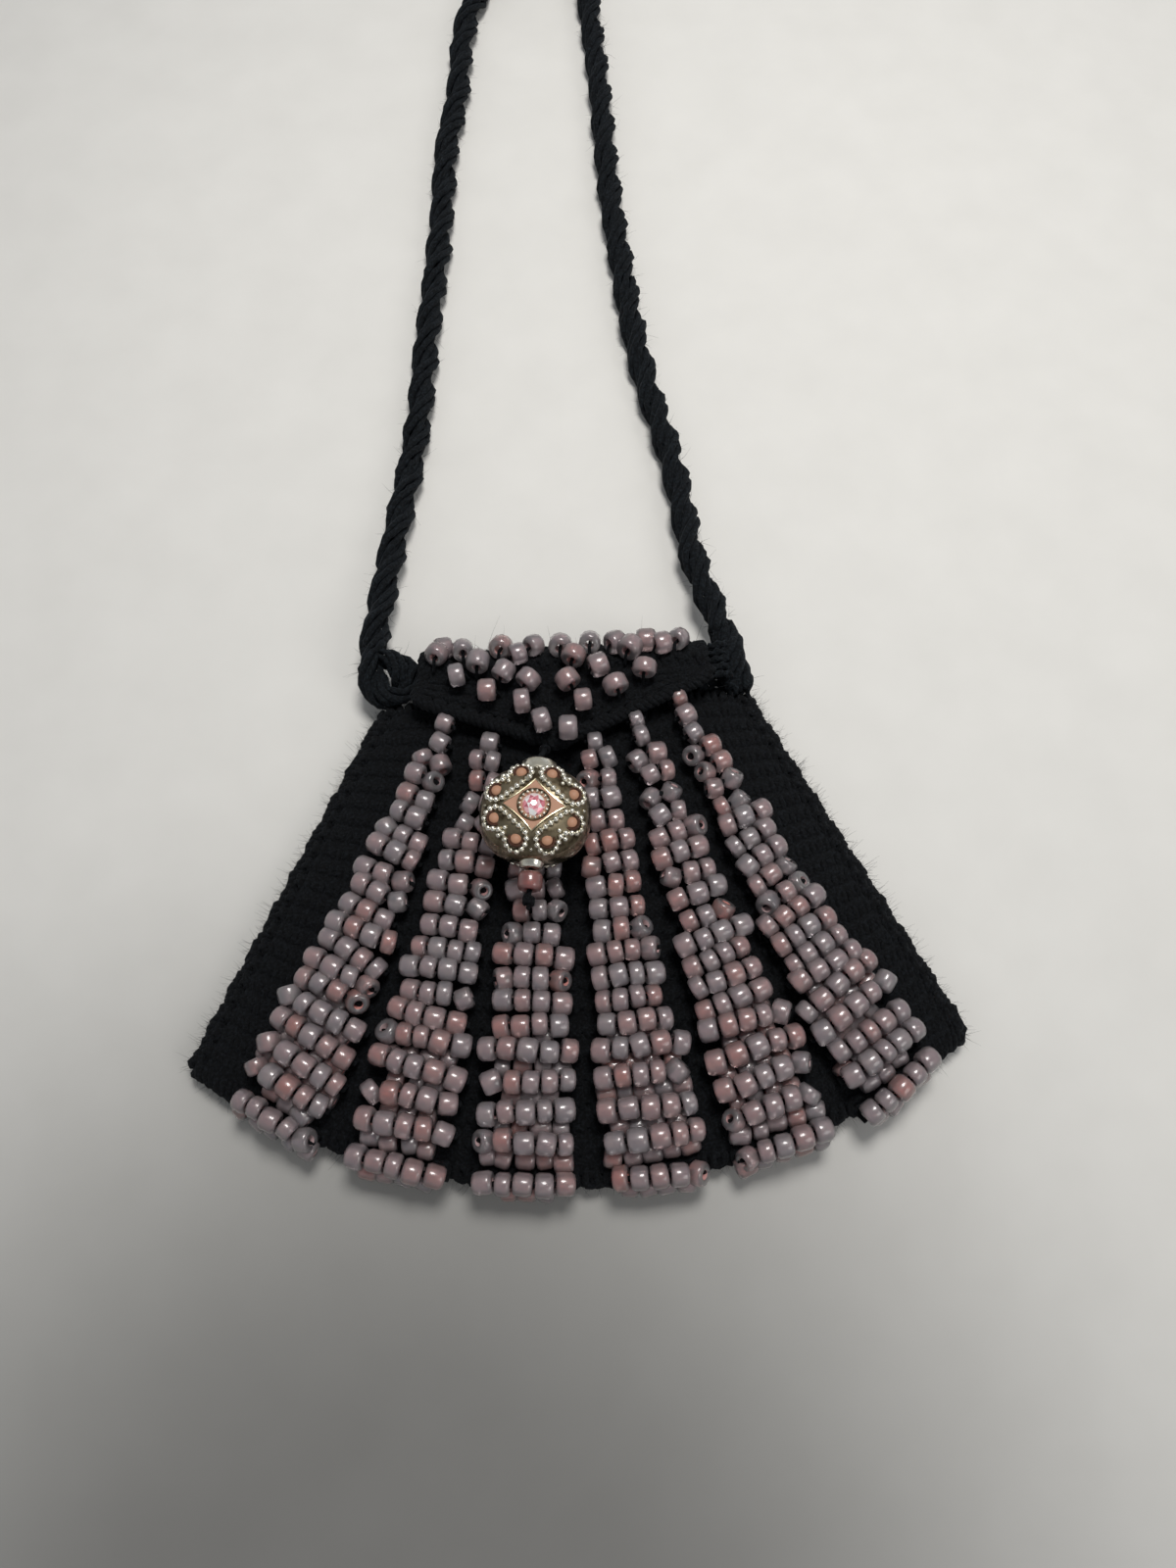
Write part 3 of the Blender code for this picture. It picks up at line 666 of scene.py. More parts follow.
# %% Back and flap
FLAP_UNDERSIDE = front_crest(0.0, 0.0) + CLEARANCE
FOLD_RADIUS = FLAP_UNDERSIDE / 2
FOLD_Z = FABRIC_THICKNESS / 2 + FOLD_RADIUS
FOLD_OUTER_RADIUS = FOLD_RADIUS + FABRIC_THICKNESS / 2
FOLD_Y = APEX_Y - FOLD_FROM_APEX - FOLD_OUTER_RADIUS
FOLD_PUFF = 1.4
EDGE_INSET = 0.3
EDGE_TUCK = 0.15
EDGE_BEYOND = 0.4
EDGE_BELOW_FOLD = 1.5
EDGE_STEP = 0.35
EDGE_OFFSET = 0.42
EDGE_PITCH = 2.4
NECK_LENGTH = FOLD_Y - fan_point(0, 0)[1]
FOLD_LENGTH = math.pi * FOLD_RADIUS
FLAP_LENGTH = FLAP_TIP_DROP - FOLD_OUTER_RADIUS
FOLD_START = FRONT_LENGTH + NECK_LENGTH
FLAP_START = FOLD_START + FOLD_LENGTH
BACK_LENGTH = FLAP_START + FLAP_LENGTH


def back_half(run):
    """Half the fabric's width at a distance along it from the bottom edge."""
    if run < FRONT_LENGTH:
        return SIDE_ANGLE * middle_reach(1 - run / FRONT_LENGTH)
    if run < FOLD_START:
        share = (run - FRONT_LENGTH) / NECK_LENGTH
        return SIDE_ANGLE * FRONT_TOP * (1 - share) + FOLD_HALF_WIDTH * share
    share = max(run - FLAP_START, 0.0) / FLAP_LENGTH
    return FOLD_HALF_WIDTH + (FLAP_CORNER_HALF_WIDTH - FOLD_HALF_WIDTH) * share


def flap_length(across):
    """Length of the flap past its fold: a shallow V with its tip near the middle."""
    corner = FLAP_LEFT_DROP if across < 0 else FLAP_RIGHT_DROP
    return FLAP_TIP_DROP + (corner - FLAP_TIP_DROP) * min(abs(across), 1.0) - FOLD_OUTER_RADIUS


def back_place(run, side, lift):
    """A point of the back, fold or flap; lift is towards the outer face."""
    across = side / back_half(run)
    if run < FRONT_LENGTH:
        down = 1 - run / FRONT_LENGTH
        x, y = fan_point(down, side / middle_reach(down))
        return Vector((x, y, FABRIC_THICKNESS / 2 - lift))
    if run < FOLD_START:
        return Vector((side, FOLD_Y - FOLD_START + run, FABRIC_THICKNESS / 2 - lift))
    if run < FLAP_START:
        turn = (run - FOLD_START) / FOLD_RADIUS
        reach = FOLD_RADIUS + lift + FOLD_PUFF * math.sin(turn)
        return Vector((side, FOLD_Y + reach * math.sin(turn), FOLD_Z - reach * math.cos(turn)))
    share = (run - FLAP_START) / FLAP_LENGTH
    x = side + share * FLAP_TIP_OFFSET * (1 - min(abs(across), 1.0))
    return Vector((x, FOLD_Y - share * flap_length(across), FOLD_Z + FOLD_RADIUS + share * FLAP_RISE + lift))


def flap_edge():
    """The cast-off edge: down one side from the neck over the fold, along the V, and up the other side."""
    start = FOLD_START - EDGE_BELOW_FOLD
    runs = [start + (BACK_LENGTH - start) * step / 12 for step in range(13)]
    reaches = [back_half(run) - EDGE_TUCK for run in runs]
    down, up = ([back_place(run, side * reach, 0.0) for run, reach in zip(runs, reaches)] for side in (-1, 1))
    end = back_half(BACK_LENGTH)
    beyond = Vector((0, EDGE_BEYOND, 0))
    across = [back_place(BACK_LENGTH, end * (step / 10 - 1), 0.0) - beyond for step in range(1, 20)]
    return smooth_path(down + across + up[::-1], EDGE_STEP)[0]



def back_sheet(down, across, lift):
    """A point of the thin sheet inside the back, fold and flap."""
    run = LINING_INSET + (BACK_LENGTH - 2 * LINING_INSET) * down
    return back_place(run, across * (back_half(run) - LINING_INSET), lift)


def make_back():
    """The back's, fold's and flap's rows of yarn around their lining; returns the rows past the back."""
    dice = random.Random(12)
    bm = bmesh.new()
    lining(bm, back_sheet, 70, 16)
    count = round(BACK_LENGTH / ROW_PITCH)
    hidden, shown = [], []
    for row in range(count + 1):
        run = BACK_LENGTH * row / count
        half = back_half(run) - EDGE_INSET
        spans = [(-half, half, 2 * round(half / STITCH_WIDTH))]

        def place(side, up, lift, run=run):
            return back_place(min(max(run + up, 0.0), BACK_LENGTH + LOOP_HEIGHT), side, lift)

        flat = run < FRONT_LENGTH
        steps = HIDDEN_LOOP_STEPS if flat else LOOP_STEPS
        (hidden if flat else shown).append(knit_row(place, spans, 1 if row % 2 else -1, steps, dice))
    add_yarn(bm, hidden, YARN_RADIUS, 4)
    add_yarn(bm, shown, YARN_RADIUS)
    add_yarn(bm, twist(flap_edge(), 3, EDGE_OFFSET, EDGE_PITCH), YARN_RADIUS)
    add_piece("back_and_flap_knit", bm, [wool], "pouch", ("back_and_flap",))
    return shown


flap_rows = make_back()

# %% [markdown]
# ## Seams
# The two panels are overcast together with the same yarn. Its slanting stitches lie so close that they make
# a soft, thick edge, which the ridges of the knitting push out here and there. Three yarns wound tightly
# round the edge line give the slant, and a slow uneven wave in that line gives the soft scallops.

# %% Seams
SEAM_OUT = 0.15
SEAM_OFFSET = 0.62
SEAM_PITCH = 2.4
SEAM_YARNS = 3
SEAM_YARN_RADIUS = 0.56
SEAM_SCALLOP = 0.24
SCALLOP_PITCH = 4.6
SCALLOP_MIX = (0.6, 0.4)
SECOND_SCALLOP = 2.3
SEAM_STEP = 0.3
SEAM_HEIGHT = FABRIC_THICKNESS + CLEARANCE / 2


def seam_spots(name):
    """The edge line that a seam follows."""
    if name == "seam_bottom":
        return [Vector((*fan_point(1.0, SIDE_ANGLE * (step / 20 - 1)), SEAM_HEIGHT)) for step in range(41)]
    side = -1 if name == "seam_left" else 1
    return [Vector((*fan_point(step / 10, side * SIDE_ANGLE), SEAM_HEIGHT)) for step in range(11)]


def make_seam(name):
    """One overcast seam, a little outside the panels' edges."""
    dice = random.Random(name)
    edge, _ = smooth_path(seam_spots(name), SEAM_STEP)
    centre = Vector((0.0, fan_point(0.5, 0.0)[1], SEAM_HEIGHT))
    phase = dice.uniform(0, 6)
    path = []
    for index, point in enumerate(edge):
        out = (edge[min(index + 1, len(edge) - 1)] - edge[max(index - 1, 0)]).cross(Vector((0, 0, 1)))
        out.normalize()
        if out.dot(point - centre) < 0:
            out.negate()
        wave = 2 * math.pi * index * SEAM_STEP / SCALLOP_PITCH + phase
        waves = SCALLOP_MIX[0] * math.sin(wave) + SCALLOP_MIX[1] * math.sin(SECOND_SCALLOP * wave)
        path.append(point + out * (SEAM_OUT + SEAM_SCALLOP * waves))
    bm = bmesh.new()
    add_yarn(bm, twist(path, SEAM_YARNS, SEAM_OFFSET, SEAM_PITCH), SEAM_YARN_RADIUS)
    add_piece(name + "_yarn", bm, [wool], "pouch", (name,))
    return path


seam_paths = [make_seam(name) for name in ("seam_left", "seam_right", "seam_bottom")]

# %% [markdown]
# ## Seed bead glass
# The beads are clear grey glass with a pink lining in the hole and a frosted, pearly outside. Looked at from
# the side, the lining glows through the middle of the barrel and the ends stay grey. An attribute stored on
# the mesh says where the middle is and another gives every bead its own tint, so the look stays with the
# bead when it is turned. A clear coat gives the small sharp highlights.

# %% Glass finishes
CLOUD_SCALE = 900
CLOUD_SHADE = (0.78, 0.80, 0.86)
LINING_SHADE = (0.85, 0.7, 0.7)


def add_attribute(tree, name):
    """Reads a number that is stored on the mesh."""
    node = add_node(tree, "ShaderNodeAttribute")
    node.attribute_name = name
    return node.outputs["Fac"]


def mix_colours(tree, factor, first, second, blend="MIX"):
    """Mixes two colours or colour sockets."""
    node = add_node(tree, "ShaderNodeMix")
    node.data_type = "RGBA"
    node.blend_type = blend
    for name, value in (("Factor", factor), ("A", first), ("B", second)):
        socket = node.inputs[name]
        if isinstance(value, bpy.types.NodeSocket):
            tree.links.new(value, socket)
        elif isinstance(value, tuple):
            socket.default_value = (*value, 1.0)
        else:
            socket.default_value = value
    return node.outputs["Result"]


def lining_tint(tree, linings):
    """The lining's colour, picked by the bead's own tint."""
    stops = [(number / (len(linings) - 1), colour) for number, colour in enumerate(linings)]
    return add_ramp(tree, add_attribute(tree, "tint"), stops)


def glass_finish(name, linings, edge):
    """Pearly lined glass: the lining's colour in the middle, and grey glass at its ends."""
    finish, tree, shader = new_finish(name, edge, 0.34, Coat_Weight=1.0, Coat_Roughness=0.13,
                                      Transmission_Weight=0.7, IOR=1.5, Specular_IOR_Level=0.9)
    cloud = add_ramp(tree, add_noise(tree, CLOUD_SCALE), ((0.3, CLOUD_SHADE), (0.7, (1.0, 1.0, 1.0))))
    pearl = mix_colours(tree, add_attribute(tree, "band"), edge, lining_tint(tree, linings))
    tree.links.new(mix_colours(tree, 1.0, pearl, cloud, "MULTIPLY"), shader.inputs["Base Color"])
    return finish


def lining_finish(name, linings):
    """The painted hole of a bead, in the same tints but deeper."""
    finish, tree, shader = new_finish(name, linings[0], 0.5)
    deeper = mix_colours(tree, 1.0, lining_tint(tree, linings), LINING_SHADE, "MULTIPLY")
    tree.links.new(deeper, shader.inputs["Base Color"])
    return finish


GREY_EDGE = (0.36, 0.33, 0.33)
LININGS = ((0.62, 0.56, 0.57), (0.66, 0.54, 0.55), (0.72, 0.54, 0.54), (0.76, 0.50, 0.48), (0.80, 0.40, 0.35))
CORALS = ((0.60, 0.26, 0.23), (0.64, 0.28, 0.25))
pearl_glass = glass_finish("pearl_pink_glass_lined", LININGS, GREY_EDGE)
pearl_lining = lining_finish("pearl_pink_lining", LININGS)
coral_glass = glass_finish("coral_pink_glass_lined", CORALS, (0.32, 0.13, 0.12))
coral_lining = lining_finish("coral_pink_lining", CORALS)
print("finishes:", pearl_glass.name, pearl_lining.name, coral_glass.name, coral_lining.name)

# %% [markdown]
# ## One seed bead
# A seed bead is a slice of drawn glass tube with its edges melted round. It is a turned shape, so a closed
# profile is spun about the hole's axis. Hundreds of them are needed, so it has eight rings of twelve faces
# and smooth shading does the rest. The faces of the hole are the painted lining. Copies are stretched a
# little, because real ones differ in length.

# %% Seed bead
BEAD_PROFILE = (
    (-0.88, 0.40), (0.88, 0.40), (1.00, 0.62), (0.91, 0.87), (0.56, 1.01), (-0.56, 1.01), (-0.91, 0.87),
    (-1.00, 0.62),
)
BEAD_SIDES = 12
LINED_RADIUS = 0.43
OUTER_RADIUS = 0.7
BEAD_CREASE = 50
LINING, STRAND = 1, 2


def add_turned(bm, section, axis, centre, sides):
    """Adds a closed ring: a section's points spun about an axis."""
    ring = [bm.verts.new(point) for point in section]
    edges = [bm.edges.new(pair) for pair in zip(ring, ring[1:] + ring[:1])]
    bmesh.ops.spin(bm, geom=ring + edges, axis=axis, cent=centre, angle=2 * math.pi, steps=sides,
                   use_merge=True)


def new_bead_mesh():
    """A bmesh with the two numbers that the glass reads."""
    bm = bmesh.new()
    bm.verts.layers.float.new("band")
    bm.verts.layers.float.new("tint")
    return bm


def seed_bead_shape():
    """A bead of unit half length and radius, with its hole along X."""
    bm = new_bead_mesh()
    add_turned(bm, [(x, 0, radius) for x, radius in BEAD_PROFILE], (1, 0, 0), (0, 0, 0), BEAD_SIDES)
    bmesh.ops.recalc_face_normals(bm, faces=bm.faces)
    band = bm.verts.layers.float["band"]
    for vert in bm.verts:
        vert[band] = 1.0 - vert.co.x**2 if math.hypot(vert.co.y, vert.co.z) > OUTER_RADIUS else 0.0
    for face in bm.faces:
        middle = face.calc_center_median()
        if math.hypot(middle.y, middle.z) < LINED_RADIUS:
            face.material_index = LINING
    return new_mesh("seed_bead_shape", bm)


bead_shape = seed_bead_shape()


def add_bead(bm, place, length, radius, tint):
    """Adds a bead at a place matrix, with its hole along the place's X."""
    before = len(bm.verts)
    bm.from_mesh(bead_shape)
    bm.verts.ensure_lookup_table()
    made = bm.verts[before:]
    bmesh.ops.transform(bm, matrix=place @ Matrix.Diagonal((length / 2, radius, radius, 1.0)), verts=made)
    layer = bm.verts.layers.float["tint"]
    for vert in made:
        vert[layer] = tint


def paint_from(bm, first, material):
    """Gives a material to the faces made since the first."""
    bm.faces.ensure_lookup_table()
    for face in bm.faces[first:]:
        face.material_index = material


def finish_beads(name, kind, bm, strands, radius):
    """Adds the yarn that carries some beads, and makes them the piece that stands for their solid."""
    glass_faces = len(bm.faces)
    add_yarn(bm, strands, radius)
    paint_from(bm, glass_faces, STRAND)
    finishes = [pearl_glass, pearl_lining, wool]
    add_piece(f"{name}_{kind}", bm, finishes, "pouch", (name,), sharp=BEAD_CREASE)


print("seed bead:", len(bead_shape.polygons), "faces")

# %% [markdown]
# ## Bead columns
# Each ridge of the knitting carries one row of beads per column, from one bead at the top to five at the
# bottom. The rows arch up in the middle, lie a little askew, and their end beads often tip up to show the
# hole. The lower rows stand off so far that more beads peek out between them, and the last row hangs over
# the bottom edge. Where the metal bead lies on the rows, it presses them a little into the knitting. The
# yarn that carries a row can be seen between its beads, so it is modelled too.

# %% Bead columns
COLUMN_FIRST_ROW = (1, 2, 4, 2, 1, 0)
ROWS_OF_EACH_COUNT = ((1, 3), (2, 4), (3, 5), (4, 4), (5, 5))
FIRST_ROW_BELOW_MOUTH = 1.1
CLOSE_ROW_PITCH = 2.48
LOOSE_ROWS = 4
ROW_CROWN = 0.7
WIDEST_ROW = 5
ROW_EXTRA_TILT = 0.7
ROW_TURN = 2.8
ROW_NUDGE = (0.3, 0.15)
ROW_LIFTS = (-0.05, 0.15)
BEAD_RADII = (1.12, 1.29)
BEAD_LENGTHS = (1.66, 2.34)
BEAD_GROWTH = 0.05
BEAD_SHARE = 0.94
BEAD_YAW = 5
BEAD_NUDGE = 0.14
TINT_BIAS = 1.3
TIPPED_END_CHANCE = 0.28
TIPPED_YAW = (10, 50)
TIPPED_LEAN = (10, 60)
TIPPED_OUT = 0.15
TIPPED_DROP = 0.35
STRAND_RADIUS = 0.3
STRAND_BACK = (0.4, 1.8)
STRAND_DOWN = 1.8
PEEKING_ROWS = 6
PEEKING_DROP = 1.2
PEEKING_NUDGE = (0.2, 0.2, 0.1)
PEEKING_YAW = 0.3
OVERHANG = (0.9, 0.8)
LAST_PEEKING = (0.03, 1.9)
PRESSED_MIDDLE = (-3.7, 5.6)
PRESSED_REACH = 9.0
PRESSED_DROP = 1.0


def row_tilt(angle):
    """Slope of the rows in a column at an angle."""
    return angle * (1 + ROW_EXTRA_TILT * (angle / (5 * COLUMN_STEP_BOTTOM))**2)


def row_places():
    """The distance down and the number of beads of each row in a full column."""
    counts = [beads for beads, rows in ROWS_OF_EACH_COUNT for _ in range(rows)]
    close = len(counts) - LOOSE_ROWS
    downs = [(FIRST_ROW_BELOW_MOUTH + CLOSE_ROW_PITCH * row) / FRONT_LENGTH for row in range(close)]
    step = (1.0 - downs[-1]) / LOOSE_ROWS
    downs += [downs[-1] + step * (row + 1) for row in range(LOOSE_ROWS)]
    return list(zip(downs, counts))


def row_frame(column, down, shift, dice):
    """Where a row sits: its middle, with X along the row, slightly shifted and turned."""
    angle = column_angle(column, down)
    x, y = fan_point(down, angle)
    seat = front_crest(min(down, 1.0), angle / SIDE_ANGLE) + CLEARANCE + BEAD_SEAT_RADIUS
    away = math.hypot(x - PRESSED_MIDDLE[0], y - PRESSED_MIDDLE[1]) / PRESSED_REACH
    seat -= PRESSED_DROP * max(1 - away**2, 0.0)
    turn = Matrix.Rotation(row_tilt(angle) + math.radians(dice.gauss(0, ROW_TURN)), 4, "Z")
    nudge = Vector([dice.uniform(-reach, reach) for reach in ROW_NUDGE] + [0])
    return Matrix.Translation((x, y, seat)) @ turn @ Matrix.Translation(nudge + Vector(shift))



def add_bead_row(bm, strands, place, beads, growth, back, dice):
    """Adds one row's beads and notes the path of its yarn, whose ends go back and down into the cloth."""
    lengths = [dice.uniform(*BEAD_LENGTHS) for _ in range(beads)]
    half = sum(lengths) / 2
    top = ROW_CROWN * beads / WIDEST_ROW if beads > 1 else 0.0
    reached = -half
    for number, length in enumerate(lengths):
        offset = reached + length / 2
        reached += length
        crown = top * (1 - (offset / half)**2)
        slope = 2 * top * offset / half**2
        yaw, tip, drop = math.radians(dice.gauss(0, BEAD_YAW)), 0.0, 0.0
        end = (number == beads - 1) - (number == 0)
        if end and dice.random() < TIPPED_END_CHANCE:
            yaw = math.radians(dice.uniform(*TIPPED_YAW)) * dice.choice((-1, 1))
            tip = math.radians(dice.uniform(*TIPPED_LEAN)) * end
            drop = TIPPED_DROP
            offset += end * TIPPED_OUT
        spot = Matrix.Translation((offset, dice.uniform(-BEAD_NUDGE, BEAD_NUDGE), crown - drop))
        lean = Matrix.Rotation(math.atan(slope), 4, "Y") @ Matrix.Rotation(yaw, 4, "Z")
        lean = lean @ Matrix.Rotation(-tip, 4, "Y")
        radius = dice.uniform(*BEAD_RADII) + growth
        add_bead(bm, place @ spot @ lean, length * BEAD_SHARE, radius, dice.random()**TINT_BIAS)
    side = [(half - 0.2, back, -STRAND_DOWN), (half + 0.1, 0, -0.3), (half / 2, 0, top * 0.75)]
    path = [(-x, y, z) for x, y, z in side] + [(0, 0, top)] + side[::-1]
    strands.append([place @ Vector(spot) for spot in path])


def add_peeking_beads(bm, place, beads, dice):
    """Beads that show from below between two rows, side by side."""
    count = beads - dice.randint(0, 2)
    for number in range(count):
        nudge = Vector([dice.uniform(-reach, reach) for reach in PEEKING_NUDGE])
        nudge.x += (number - (count - 1) / 2) * BEAD_LENGTH
        yaw = Matrix.Rotation(dice.uniform(-PEEKING_YAW, PEEKING_YAW), 4, "Z")
        add_bead(bm, place @ Matrix.Translation(nudge) @ yaw, dice.uniform(*BEAD_LENGTHS), BEAD_RADII[0],
                 dice.random()**TINT_BIAS)


def make_column(column):
    """One column of bead rows with its yarn."""
    dice = random.Random(40 + column)
    bm = new_bead_mesh()
    strands = []
    rows = row_places()[COLUMN_FIRST_ROW[column - 1]:]
    for number, (down, beads) in enumerate(rows):
        last = number + 1 == len(rows)
        shift = (0, -OVERHANG[0], -OVERHANG[1]) if last else (0, 0, ROW_LIFTS[number % 2])
        place = row_frame(column, down, shift, dice)
        add_bead_row(bm, strands, place, beads, BEAD_GROWTH * down, STRAND_BACK[last], dice)
        if len(rows) - number <= PEEKING_ROWS:
            following = down + LAST_PEEKING[0] if last else rows[number + 1][0]
            shift = (0, -OVERHANG[0], -LAST_PEEKING[1]) if last else (0, 0, -PEEKING_DROP)
            add_peeking_beads(bm, row_frame(column, (down + following) / 2, shift, dice), beads, dice)
    finish_beads(f"bead_column_{column}", "beads", bm, strands, STRAND_RADIUS)


for column in range(1, 7):
    make_column(column)

# %% [markdown]
# ## Flap beads
# Twenty-seven single beads are sewn over the fold and down the flap, each turned its own way and a little
# larger than those in the columns. They follow the fold's round, so each one's place is turned about the
# fold by its distance along it, as in the solids.

# %% Flap beads
LOOSE_BEAD_RADIUS = 1.35
LOOSE_BEAD_SHARES = (0.93, 1.1)
LOOSE_BEAD_LENGTHS = (1.8, 2.3)
LOOSE_TINTS = 0.8
LOOSE_YARN_RADIUS = 0.2
FAR_OVER_FOLD = -2.0
FAR_SHARE = 0.35
FLAP_BEADS = (
    (-0.89, -1.7, 70), (-0.85, -3.9, 20), (-0.71, -2.3, 95), (-0.75, 0.7, 10),
    (-0.60, -0.7, 80), (-0.54, 2.8, 0), (-0.44, -3.1, 75), (-0.42, 0.4, 60),
    (-0.32, -1.3, 20), (-0.30, 4.4, 5), (-0.25, 1.6, 50), (-0.21, -3.4, 40),
    (-0.17, 6.9, 15), (-0.02, -2.7, 85), (0.01, 8.0, 0), (0.02, 1.8, 120),
    (0.07, -0.9, 70), (0.12, 4.5, 5), (0.19, -3.9, 85), (0.24, 0.1, 20),
    (0.35, 2.7, 110), (0.37, -3.2, 30), (0.47, -1.6, 60), (0.56, 0.7, 80),
    (0.59, -3.8, 0), (0.70, -2.0, 15), (0.82, -3.8, 60),
)


def make_flap_bead(number, across, reach, turn, dice):
    """One sewn bead on the flap or over its fold; those far over the fold are drawn back a little."""
    lift = CLEARANCE + LOOSE_BEAD_RADIUS
    reach = max(reach, FAR_OVER_FOLD + (reach - FAR_OVER_FOLD) * FAR_SHARE)
    lean = max(-reach, 0.0) / FOLD_OUTER_RADIUS
    rise = FLAP_RISE * max(reach, 0.0) / FLAP_LENGTH
    y = FOLD_Y - max(reach, 0.0) + (FOLD_OUTER_RADIUS + lift) * math.sin(lean)
    z = FOLD_Z + rise + (FOLD_OUTER_RADIUS + lift) * math.cos(lean)
    place = (Matrix.Translation((across * FOLD_HALF_WIDTH, y, z)) @ Matrix.Rotation(-lean, 4, "X")
             @ Matrix.Rotation(math.radians(turn), 4, "Z"))
    bm = new_bead_mesh()
    radius = LOOSE_BEAD_RADIUS * dice.uniform(*LOOSE_BEAD_SHARES)
    add_bead(bm, place, dice.uniform(*LOOSE_BEAD_LENGTHS), radius, dice.random() * LOOSE_TINTS)
    ends = [place @ Vector((x, 0, z)) for x, z in ((-1.3, -lift), (-0.9, -0.2), (0.9, -0.2), (1.3, -lift))]
    finish_beads(f"flap_bead_{number:02d}", "glass", bm, [ends], LOOSE_YARN_RADIUS)


flap_dice = random.Random(7)
for number, (across, reach, turn) in enumerate(FLAP_BEADS, 1):
    make_flap_bead(number, across, reach, turn, flap_dice)

# %% [markdown]
# ## Metal finishes
# The charm is a cast bead with an antique silver plating: bright and slightly warm on the raised wires and
# the plain band, dark brown where patina is left in the recesses. The enamel is an opaque peach pink, and
# the stone a foil-backed pink crystal with a painted reflection on every facet, a random deep red to white.

# %% Metal, enamel and stone finishes
WEAR_SCALE = 700
PIT_SCALE = 2600
PIT_DEPTH = 0.03
# Painted reflections on the stone's facets: the crystal's own pink plus tints from deep red to white.
FACET_PAINTED_REFLECTIONS = (
    (0.0, (0.45, 0.10, 0.14)), (0.3, (0.90, 0.32, 0.38)), (0.6, (0.98, 0.62, 0.66)),
    (0.75, (1.0, 1.0, 1.0)),
)


def silver_finish(name, dark, light, roughness):
    """Plated metal with a little tarnish in its colour and its polish."""
    finish, tree, shader = new_finish(name, light, roughness, 1.0)
    wear = add_noise(tree, WEAR_SCALE, 5.0)
    tree.links.new(add_ramp(tree, wear, ((0.35, dark), (0.62, light))), shader.inputs["Base Color"])
    polish = add_ramp(tree, wear, ((0.3, (roughness * 1.5,) * 3), (0.7, (roughness * 0.8,) * 3)))
    tree.links.new(polish, shader.inputs["Roughness"])
    add_bump(tree, shader, add_noise(tree, PIT_SCALE), 0.15, PIT_DEPTH)
    return finish


silver = silver_finish("antique_silver_bright", (0.62, 0.58, 0.47), (0.90, 0.87, 0.77), 0.24)
band_silver = silver_finish("antique_silver_band", (0.22, 0.19, 0.12), (0.46, 0.42, 0.31), 0.22)
patina = silver_finish("antique_silver_patina", (0.05, 0.037, 0.022), (0.25, 0.21, 0.14), 0.4)
brown_patina = new_finish("brown_patina", (0.085, 0.036, 0.022), 0.45, 0.3)[0]
enamel = new_finish("peach_enamel", (0.44, 0.235, 0.150), 0.45, Specular_IOR_Level=0.2)[0]


def crystal_finish():
    """Foil-backed pink crystal with painted reflections: the facet's own number picks a tint from deep red to
    white.
    """
    finish, tree, shader = new_finish("pink_crystal_painted_reflections", (0.8, 0.35, 0.4), 0.05, 0.2, Coat_Weight=1.0,
                                      Coat_Roughness=0.02)
    # Painted reflections: each facet's random number picks a tint, as if it mirrored something dark or
    # bright.
    tree.links.new(add_ramp(tree, add_attribute(tree, "facet"), FACET_PAINTED_REFLECTIONS), shader.inputs["Base Color"])
    return finish


crystal = crystal_finish()
print("finishes:", silver.name, band_silver.name, patina.name, brown_patina.name, enamel.name, crystal.name)

# %% [markdown]
# ## The charm's own frame
# The metal bead is threaded on a line that leans six degrees from the middle. All of it is modelled flat,
# with its bore along Y and its face up, and then moved by one matrix, which is worked out as in the solids.

# %% Charm frame
METAL_BEAD_HALF_WIDTH = 5.95
METAL_BEAD_HALF_LENGTH = 5.4
METAL_BEAD_HALF_THICKNESS = 3.7
METAL_BEAD_SQUARENESS = 2.3
METAL_BEAD_FULLNESS = 0.55
BEADS_UNDER_IT = 3
CAP_PROUD = 0.5
CHARM_ANGLE = math.radians(6.0)
CHARM_BELOW_TIP = 11.0
CHARM_OFFSET = -3.7


def charm_matrix():
    """The charm's place: its face up, on top of the bead columns."""
    y = APEX_Y - FOLD_FROM_APEX - FLAP_TIP_DROP - CHARM_BELOW_TIP
    down = (FLAP_TIP_DROP + CHARM_BELOW_TIP + METAL_BEAD_HALF_LENGTH - MOUTH_BELOW_FOLD) / FRONT_LENGTH
    seat = front_crest(down, 0.0) + CLEARANCE + 2 * BEAD_SEAT_RADIUS + ROW_CROWN * BEADS_UNDER_IT / WIDEST_ROW
    height = seat + CLEARANCE + METAL_BEAD_HALF_THICKNESS
    return Matrix.Translation((CHARM_OFFSET, y, height)) @ Matrix.Rotation(-CHARM_ANGLE, 4, "Z")


charm_place = charm_matrix()


def plan_share(x, y):
    """How far out a point of the bead's plan is: 0 in the middle, 1 on its outline."""
    across, along = abs(x) / METAL_BEAD_HALF_WIDTH, abs(y) / METAL_BEAD_HALF_LENGTH
    return (across**METAL_BEAD_SQUARENESS + along**METAL_BEAD_SQUARENESS)**(1 / METAL_BEAD_SQUARENESS)


def dome_height(x, y):
    """Height of the bead's face above its middle plane."""
    share = min(plan_share(x, y), 1.0)**(1 / METAL_BEAD_FULLNESS)
    return METAL_BEAD_HALF_THICKNESS * (1 - share**2)**METAL_BEAD_FULLNESS


def on_dome(x, y, lift=0.0):
    """A point on the bead's face."""
    return Vector((x, y, dome_height(x, y) + lift))


print("charm at", [round(value, 2) for value in charm_place.translation])

# %% [markdown]
# ## Cast body
# The body is a squarish cushion with a plain polished band round its sides. It starts as a sphere whose
# rings are pushed out to the cushion's plan. Its face, inside the band, is the dark ground of the wirework.
# Each end of the bore has a turned collar, spun from its section.

